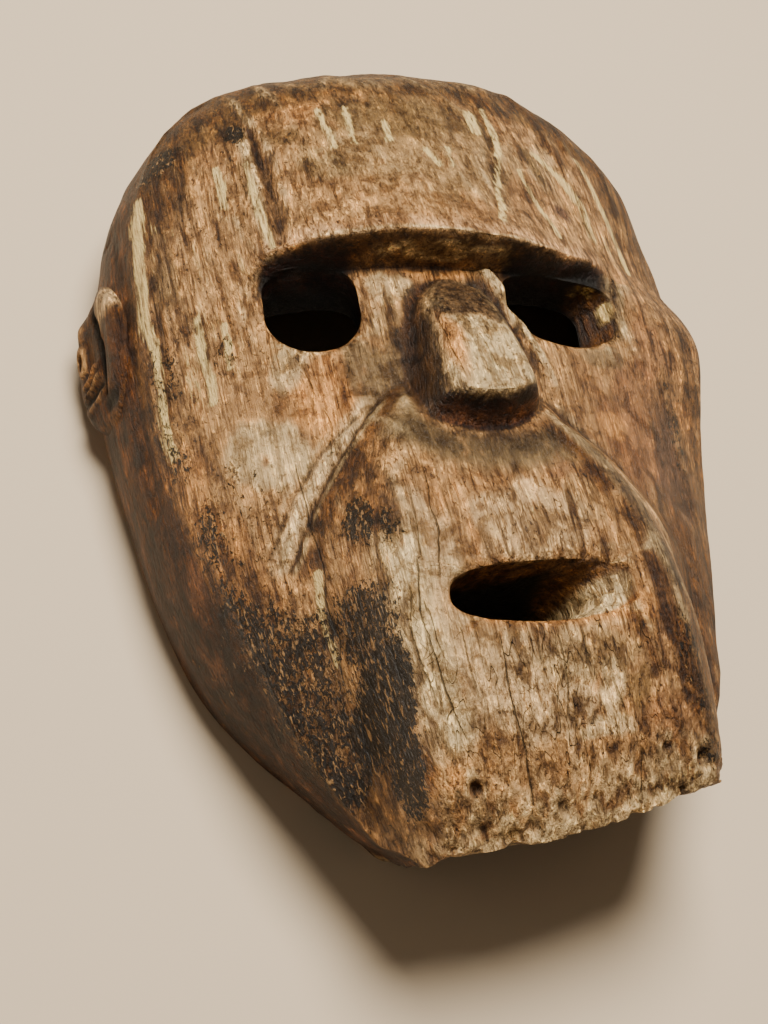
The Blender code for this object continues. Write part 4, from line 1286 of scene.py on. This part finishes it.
def wood_material(wood):
    """Old carved wood: painted ground, grain, tool flecks, bare streaks, soot in flakes, and splits."""
    material = bpy.data.materials.new("aged_wood")
    material.use_nodes = True
    tree = material.node_tree
    shader = tree.nodes["Principled BSDF"]
    sheet = Sheet(tree)
    tone = {name: colour(getattr(wood, name)) for name in SHADES}
    place = sheet.node("ShaderNodeTexCoord", {}, {}, "Object")
    place = sheet.stretched(place, (1000.0, 1000.0, 1000.0))
    ground = sheet.attribute("ground", "Color")
    soot_share = sheet.attribute("soot")
    bare_share = sheet.attribute("bare")
    worn = sheet.attribute("worn")
    check_share = sheet.attribute("check")
    split = sheet.attribute("split")
    near = sheet.attribute("near")

    fibre = sheet.noise(sheet.stretched(place, (1.0, 0.07, 1.0)), 1.5, 5.0, 0.65, 0.35)
    strand = sheet.noise(sheet.stretched(place, (1.0, 0.09, 1.0), 8), 0.42, 5.0, 0.6, 0.5)
    fleck = sheet.noise(sheet.stretched(place, (1.0, 0.28, 1.0), 12), 1.0, 4.0, 0.62, 0.6)
    grit = sheet.noise(sheet.stretched(place, (1.0, 0.6, 1.0), 10), 0.9, 5.0, 0.68, 0.8)
    cloud = sheet.noise(place, 0.14, 6.0, 0.66, 0.5)

    rough = 1.0 - worn * 0.55
    tint = sheet.blend(sheet.rise(cloud, 0.47, 0.63), ground, DARKER_CLOUD, "MULTIPLY")
    tint = sheet.blend(sheet.rise(cloud, 0.46, 0.34), tint, LIGHTER_CLOUD, "MULTIPLY")
    tint = sheet.blend(sheet.rise(strand, 0.51, 0.37) * rough, tint, DARKER_STRAND, "MULTIPLY")
    tint = sheet.blend(sheet.rise(strand, 0.53, 0.67) * rough, tint, LIGHTER_STRAND, "MULTIPLY")
    tint = sheet.blend(sheet.rise(fibre, 0.51, 0.38) * rough, tint, DARKER_FIBRE, "MULTIPLY")
    tint = sheet.blend(sheet.rise(fleck, 0.54, 0.66) * rough, tint, LIGHTER_FLECK, "MULTIPLY")
    tint = sheet.blend(sheet.rise(grit, 0.44, 0.35) * rough, tint, DARKER_GRIT, "MULTIPLY")

    streak = strand * 0.45 + fibre * 0.30 + fleck * 0.25
    bare_mask = sheet.rise(bare_share * 0.30 + streak, 0.655, 0.80)
    bright = sheet.blend(sheet.rise(fibre, 0.56, 0.40) * 0.6, tone["straw"], tone["tan"])
    tint = sheet.blend(bare_mask * 0.88, tint, bright)

    flake = grit * 0.45 + fleck * 0.20 + cloud * 0.15 + strand * 0.20
    soot_mask = sheet.rise(soot_share * 0.30 + flake, 0.652, 0.676)
    # The soot's tan flecks are painted glints, partly wood showing through
    lacquer = sheet.blend(sheet.rise(fleck, 0.57, 0.64) * 0.6, tone["black"], tone["tan"])
    tint = sheet.blend(soot_mask * 0.96, tint, lacquer)

    seam = sheet.noise(sheet.stretched(place, (1.0, 0.02, 1.0), 1), 0.32, 1.0, 0.3, 0.1)
    fine = sheet.rise(abs(seam - 0.5), 0.008, 0.001) * sheet.rise(check_share * strand, 0.32, 0.46) * 0.75
    deep = sheet.rise(abs(split) + fleck * 0.6, 0.54, 0.36) * near
    line = fine.greatest(deep)
    tint = sheet.blend(line * 0.92, tint, tone["black"])

    gloss = (0.46 - worn * 0.18 + bare_mask * 0.15 + line * 0.2 + sheet.rise(fleck, 0.5, 0.65) * 0.10
             - soot_mask * 0.08)
    height = (fibre * 0.35 + strand * 0.55 + fleck * 0.40 + grit * 0.45 + bare_mask * 0.10
              + soot_mask * 0.10 - line * 0.9)
    bump = sheet.node("ShaderNodeBump", {}, {"Strength": 1.0, "Distance": 0.0015, "Height": height})
    tree.links.new(tint.socket, shader.inputs["Base Color"])
    tree.links.new(gloss.socket, shader.inputs["Roughness"])
    tree.links.new(bump.socket, shader.inputs["Normal"])
    shader.inputs["Specular IOR Level"].default_value = WOOD_SPECULAR
    return material


# Settings that a user would change

SHADES = ("brown", "tan", "orange", "rust", "rose", "pale", "cream", "straw", "silver", "grey", "ash",
          "olive", "bark", "umber", "plum", "char", "soil", "ember", "black")


def shade(label, description, red, green, blue):
    """A colour property from screen steps."""
    return bpy.props.FloatVectorProperty(name=label, description=description, subtype="COLOR", size=3,
                                         min=0.0, max=1.0, default=linear(red, green, blue))


def count(label, description, default, low, step=1):
    """A property for a number of cells or rings."""
    return bpy.props.IntProperty(name=label, description=description, default=default, min=low, step=step)


def amount(label, description, default):
    """A property for a depth or a strength, which is never below nil."""
    return bpy.props.FloatProperty(name=label, description=description, default=default, min=0.0)


class MaskWood(bpy.types.PropertyGroup):
    """The wood's shades, from rubbed and bare to charred."""

    brown: shade("Brown", "Ground colour of the wood", 156, 114, 70)
    # Tan also paints highlights on the ears' raised carving and the mouth's lower lip, and glints in the soot
    tan: shade("Tan", "Lighter ground colour", 194, 150, 98)
    # Orange also paints the highlight along the mouth's lower lip
    orange: shade("Orange", "Warm patches where the dark skin has gone", 208, 148, 84)
    rust: shade("Rust", "Reddish patches of the right cheek", 136, 88, 54)
    # Rose paints a highlight over the brow's edge, on rubbed wood
    rose: shade("Rose", "Rubbed edge over the brow", 212, 166, 118)
    # Pale also paints highlights down the muzzle's left side, along the right crease and on the ears
    pale: shade("Pale", "Rubbed, greyed wood", 210, 178, 132)
    # Cream also paints highlights on the cheek, the muzzle, ridges, the nose and the brow's edge
    cream: shade("Cream", "Lightest rubbed places", 226, 198, 148)
    # Straw also paints light on the right eye's outer wall
    straw: shade("Straw", "Bare wood in splinters and worn lines", 252, 224, 152)
    silver: shade("Silver", "Polished front of the nose", 206, 180, 134)
    grey: shade("Grey", "Weathered forehead", 160, 134, 92)
    ash: shade("Ash", "Smooth grey planes beside and below the nose", 134, 110, 76)
    olive: shade("Olive", "Dull side wall and bevel", 100, 74, 36)
    bark: shade("Bark", "Side wall", 82, 44, 4)
    # Umber also paints shade beside the right crease and under the brow
    umber: shade("Umber", "Dark brown places", 90, 56, 22)
    plum: shade("Plum", "Purple-brown stains", 96, 66, 52)
    # Char also paints shade on the nose's right side and beside the right crease
    char: shade("Char", "Sooty grey-black", 64, 50, 34)
    # Soil also paints shade in hollows, under the brow, beside the nose and on the ears
    soil: shade("Soil", "Dark brown in hollows", 46, 24, 8)
    # Ember also paints shade under the nose, over the eyes and in the eyes' openings
    ember: shade("Ember", "Dark red-brown in deep cuts", 40, 14, 5)
    # Black also paints shade deep in the openings, round them in the hollow, over the eyes and in the ears'
    # hollows
    black: shade("Black", "Soot and old lacquer", 11, 7, 4)


class MaskSizes(bpy.types.PropertyGroup):
    """How finely the mask is cut and how deep its marks are."""

    cells_across: count("Cells Across", "Grid cells over the front's width", 200, 40, 40)
    cells_up: count("Cells Up", "Grid cells over the front's height", 280, 56, 56)
    wall_rings: count("Wall Rings", "Rings of cells down the side wall", 16, 4)
    tunnel_rings: count("Opening Rings", "Rings of cells through each opening", 9, 1)
    ear_rings: count("Ear Rings", "Rings of cells over an ear", 64, 8)
    ear_segments: count("Ear Segments", "Cells around an ear", 160, 16)
    facet_depth: amount("Facet Depth", "Depth of broad tool cuts, in millimetres", 0.9)
    stroke_depth: amount("Stroke Depth", "Depth of narrow tool cuts, in millimetres", 0.55)
    chip_depth: amount("Chip Depth", "Depth of the chin's chips, in millimetres", 1.1)


class MaskStage(bpy.types.PropertyGroup):
    """Floor, lights and camera."""

    floor: shade("Floor", "Colour of the plain floor", 228, 209, 182)
    key_power: amount("Key Light", "Power of the large soft light, in watts", 22.0)
    fill_power: amount("Fill Light", "Power of the weak light opposite, in watts", 1.1)
    sky: amount("Room Light", "Strength of the even light all round", 0.11)
    lens: bpy.props.FloatProperty(name="Lens", description="Focal length of the camera", default=CAMERA_LENS,
                                  min=10.0, unit="CAMERA")


# Operators

class MASK_OT_carve_mask(bpy.types.Operator):
    """Build the mask's outer face, hollow and openings as one closed surface"""

    bl_idname = "mask.carve_mask"
    bl_label = "Carve Mask"

    def execute(self, context):
        wood = context.scene.mask_wood
        material = bpy.data.materials.get("aged_wood") or wood_material(wood)
        mask = fill_mesh("carved_mask", *mask_arrays(context.scene.mask_sizes, shades(wood)), material)
        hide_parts("mask")
        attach(mask, "root")
        return {"FINISHED"}


class MASK_OT_carve_ears(bpy.types.Operator):
    """Build the two carved ears on the side walls"""

    bl_idname = "mask.carve_ears"
    bl_label = "Carve Ears"

    def execute(self, context):
        wood = context.scene.mask_wood
        material = bpy.data.materials.get("aged_wood") or wood_material(wood)
        for name, ear in (("left_ear", LEFT_EAR), ("right_ear", RIGHT_EAR)):
            piece = fill_mesh(name, *ear_arrays(ear, context.scene.mask_sizes, shades(wood)), material)
            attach(piece, "root")
        return {"FINISHED"}


def view_axes():
    """The camera's right, up and backward directions, as the rows of a turning matrix.

    The swing turns about Y, the tip about the turned X, and the roll about the line of sight.
    """
    swing, tip, roll = np.radians((CAMERA_SWING, CAMERA_TIP, CAMERA_ROLL))
    level = np.array(((np.cos(swing), 0.0, np.sin(swing)),
                      (-np.sin(swing) * np.sin(tip), np.cos(tip), np.cos(swing) * np.sin(tip)),
                      (-np.sin(swing) * np.cos(tip), -np.sin(tip), np.cos(swing) * np.cos(tip))))
    rolled = np.array(((np.cos(roll), -np.sin(roll), 0.0),
                       (np.sin(roll), np.cos(roll), 0.0),
                       (0.0, 0.0, 1.0)))
    return rolled @ level


def aim_matrix(place, axes):
    """World matrix of something at a place whose own axes are the rows given."""
    matrix = Matrix.Identity(4)
    for row in range(3):
        for column in range(3):
            matrix[row][column] = axes[column][row]
        matrix[row][3] = place[row]
    return matrix


def facing_axes(direction):
    """Axes for a light that shines against a direction."""
    back = np.array(direction) / np.linalg.norm(direction)
    right = np.cross((0.0, 1.0, 0.0), back)
    right /= np.linalg.norm(right)
    return np.array((right, np.cross(back, right), back))


LIGHT_COLOUR = (1.0, 0.92, 0.80)
ROOM_COLOUR = (1.0, 0.82, 0.62)
# Each light: name, direction from the mask as shares of the camera's right, up and back, distance and
# size in metres, and the setting that holds its power
LIGHTS = (
    ("key_light", (0.28, 0.95, 0.85), 1.1, 0.6, "key_power"),
    ("fill_light", (-0.75, 0.05, 0.75), 1.3, 1.2, "fill_power"),
)


class MASK_OT_set_stage(bpy.types.Operator):
    """Lay a plain floor, and set soft studio lights and the camera"""

    bl_idname = "mask.set_stage"
    bl_label = "Set Stage"

    def execute(self, context):
        stage = context.scene.mask_stage
        floor_mesh = bpy.data.meshes.new("floor")
        corners = FLOOR_HALF * np.array(((-1, -1, 0), (1, -1, 0), (1, 1, 0), (-1, 1, 0)))
        floor_mesh.from_pydata(corners.tolist(), [], [(0, 1, 2, 3)])
        paint = bpy.data.materials.new("floor_paint")
        paint.use_nodes = True
        shader = paint.node_tree.nodes["Principled BSDF"]
        shader.inputs["Base Color"].default_value = colour(stage.floor)
        shader.inputs["Roughness"].default_value = FLOOR_ROUGHNESS
        floor_mesh.materials.append(paint)
        floor = bpy.data.objects.new("floor", floor_mesh)
        context.collection.objects.link(floor)

        axes = view_axes()
        camera_data = bpy.data.cameras.new("camera")
        camera_data.lens = stage.lens
        camera_data.sensor_width = SENSOR_WIDTH
        camera_data.clip_start = 0.01
        camera = bpy.data.objects.new("camera", camera_data)
        aside = np.array((*CAMERA_ASIDE, -CAMERA_DISTANCE))
        place = -(axes.T @ aside) - np.array(MIDDLE) * MM
        camera.matrix_world = aim_matrix(place, axes)
        context.collection.objects.link(camera)
        context.scene.camera = camera

        for name, direction, distance, size, power in LIGHTS:
            data = bpy.data.lights.new(name, "AREA")
            data.shape = "DISK"
            data.size = size
            data.energy = getattr(stage, power)
            data.color = LIGHT_COLOUR
            away = axes.T @ np.array(direction)
            away = away / np.linalg.norm(away)
            light = bpy.data.objects.new(name, data)
            light.matrix_world = aim_matrix(away * distance, facing_axes(away))
            context.collection.objects.link(light)

        world = bpy.data.worlds.new("room")
        world.use_nodes = True
        background = world.node_tree.nodes["Background"]
        background.inputs["Color"].default_value = colour(ROOM_COLOUR)
        background.inputs["Strength"].default_value = stage.sky
        context.scene.world = world
        return {"FINISHED"}


class MASK_PT_panel(bpy.types.Panel):
    """The mask's settings and operators"""

    bl_idname = "MASK_PT_panel"
    bl_label = "Mask"
    bl_space_type = "VIEW_3D"
    bl_region_type = "UI"
    bl_category = "Mask"

    def draw(self, context):
        for settings in (context.scene.mask_sizes, context.scene.mask_wood, context.scene.mask_stage):
            box = self.layout.box()
            for name in settings.__annotations__:
                box.prop(settings, name)
        for operator in OPERATORS:
            self.layout.operator(operator.bl_idname)


OPERATORS = (MASK_OT_carve_mask, MASK_OT_carve_ears, MASK_OT_set_stage)
CLASSES = (MaskWood, MaskSizes, MaskStage, *OPERATORS, MASK_PT_panel)


def register():
    for item in CLASSES:
        bpy.utils.register_class(item)
    bpy.types.Scene.mask_wood = bpy.props.PointerProperty(type=MaskWood)
    bpy.types.Scene.mask_sizes = bpy.props.PointerProperty(type=MaskSizes)
    bpy.types.Scene.mask_stage = bpy.props.PointerProperty(type=MaskStage)


def unregister():
    del bpy.types.Scene.mask_stage
    del bpy.types.Scene.mask_sizes
    del bpy.types.Scene.mask_wood
    for item in reversed(CLASSES):
        bpy.utils.unregister_class(item)


def main():
    register()
    bpy.ops.mask.carve_mask()
    bpy.ops.mask.carve_ears()
    bpy.ops.mask.set_stage()


if __name__ == "__main__":
    main()
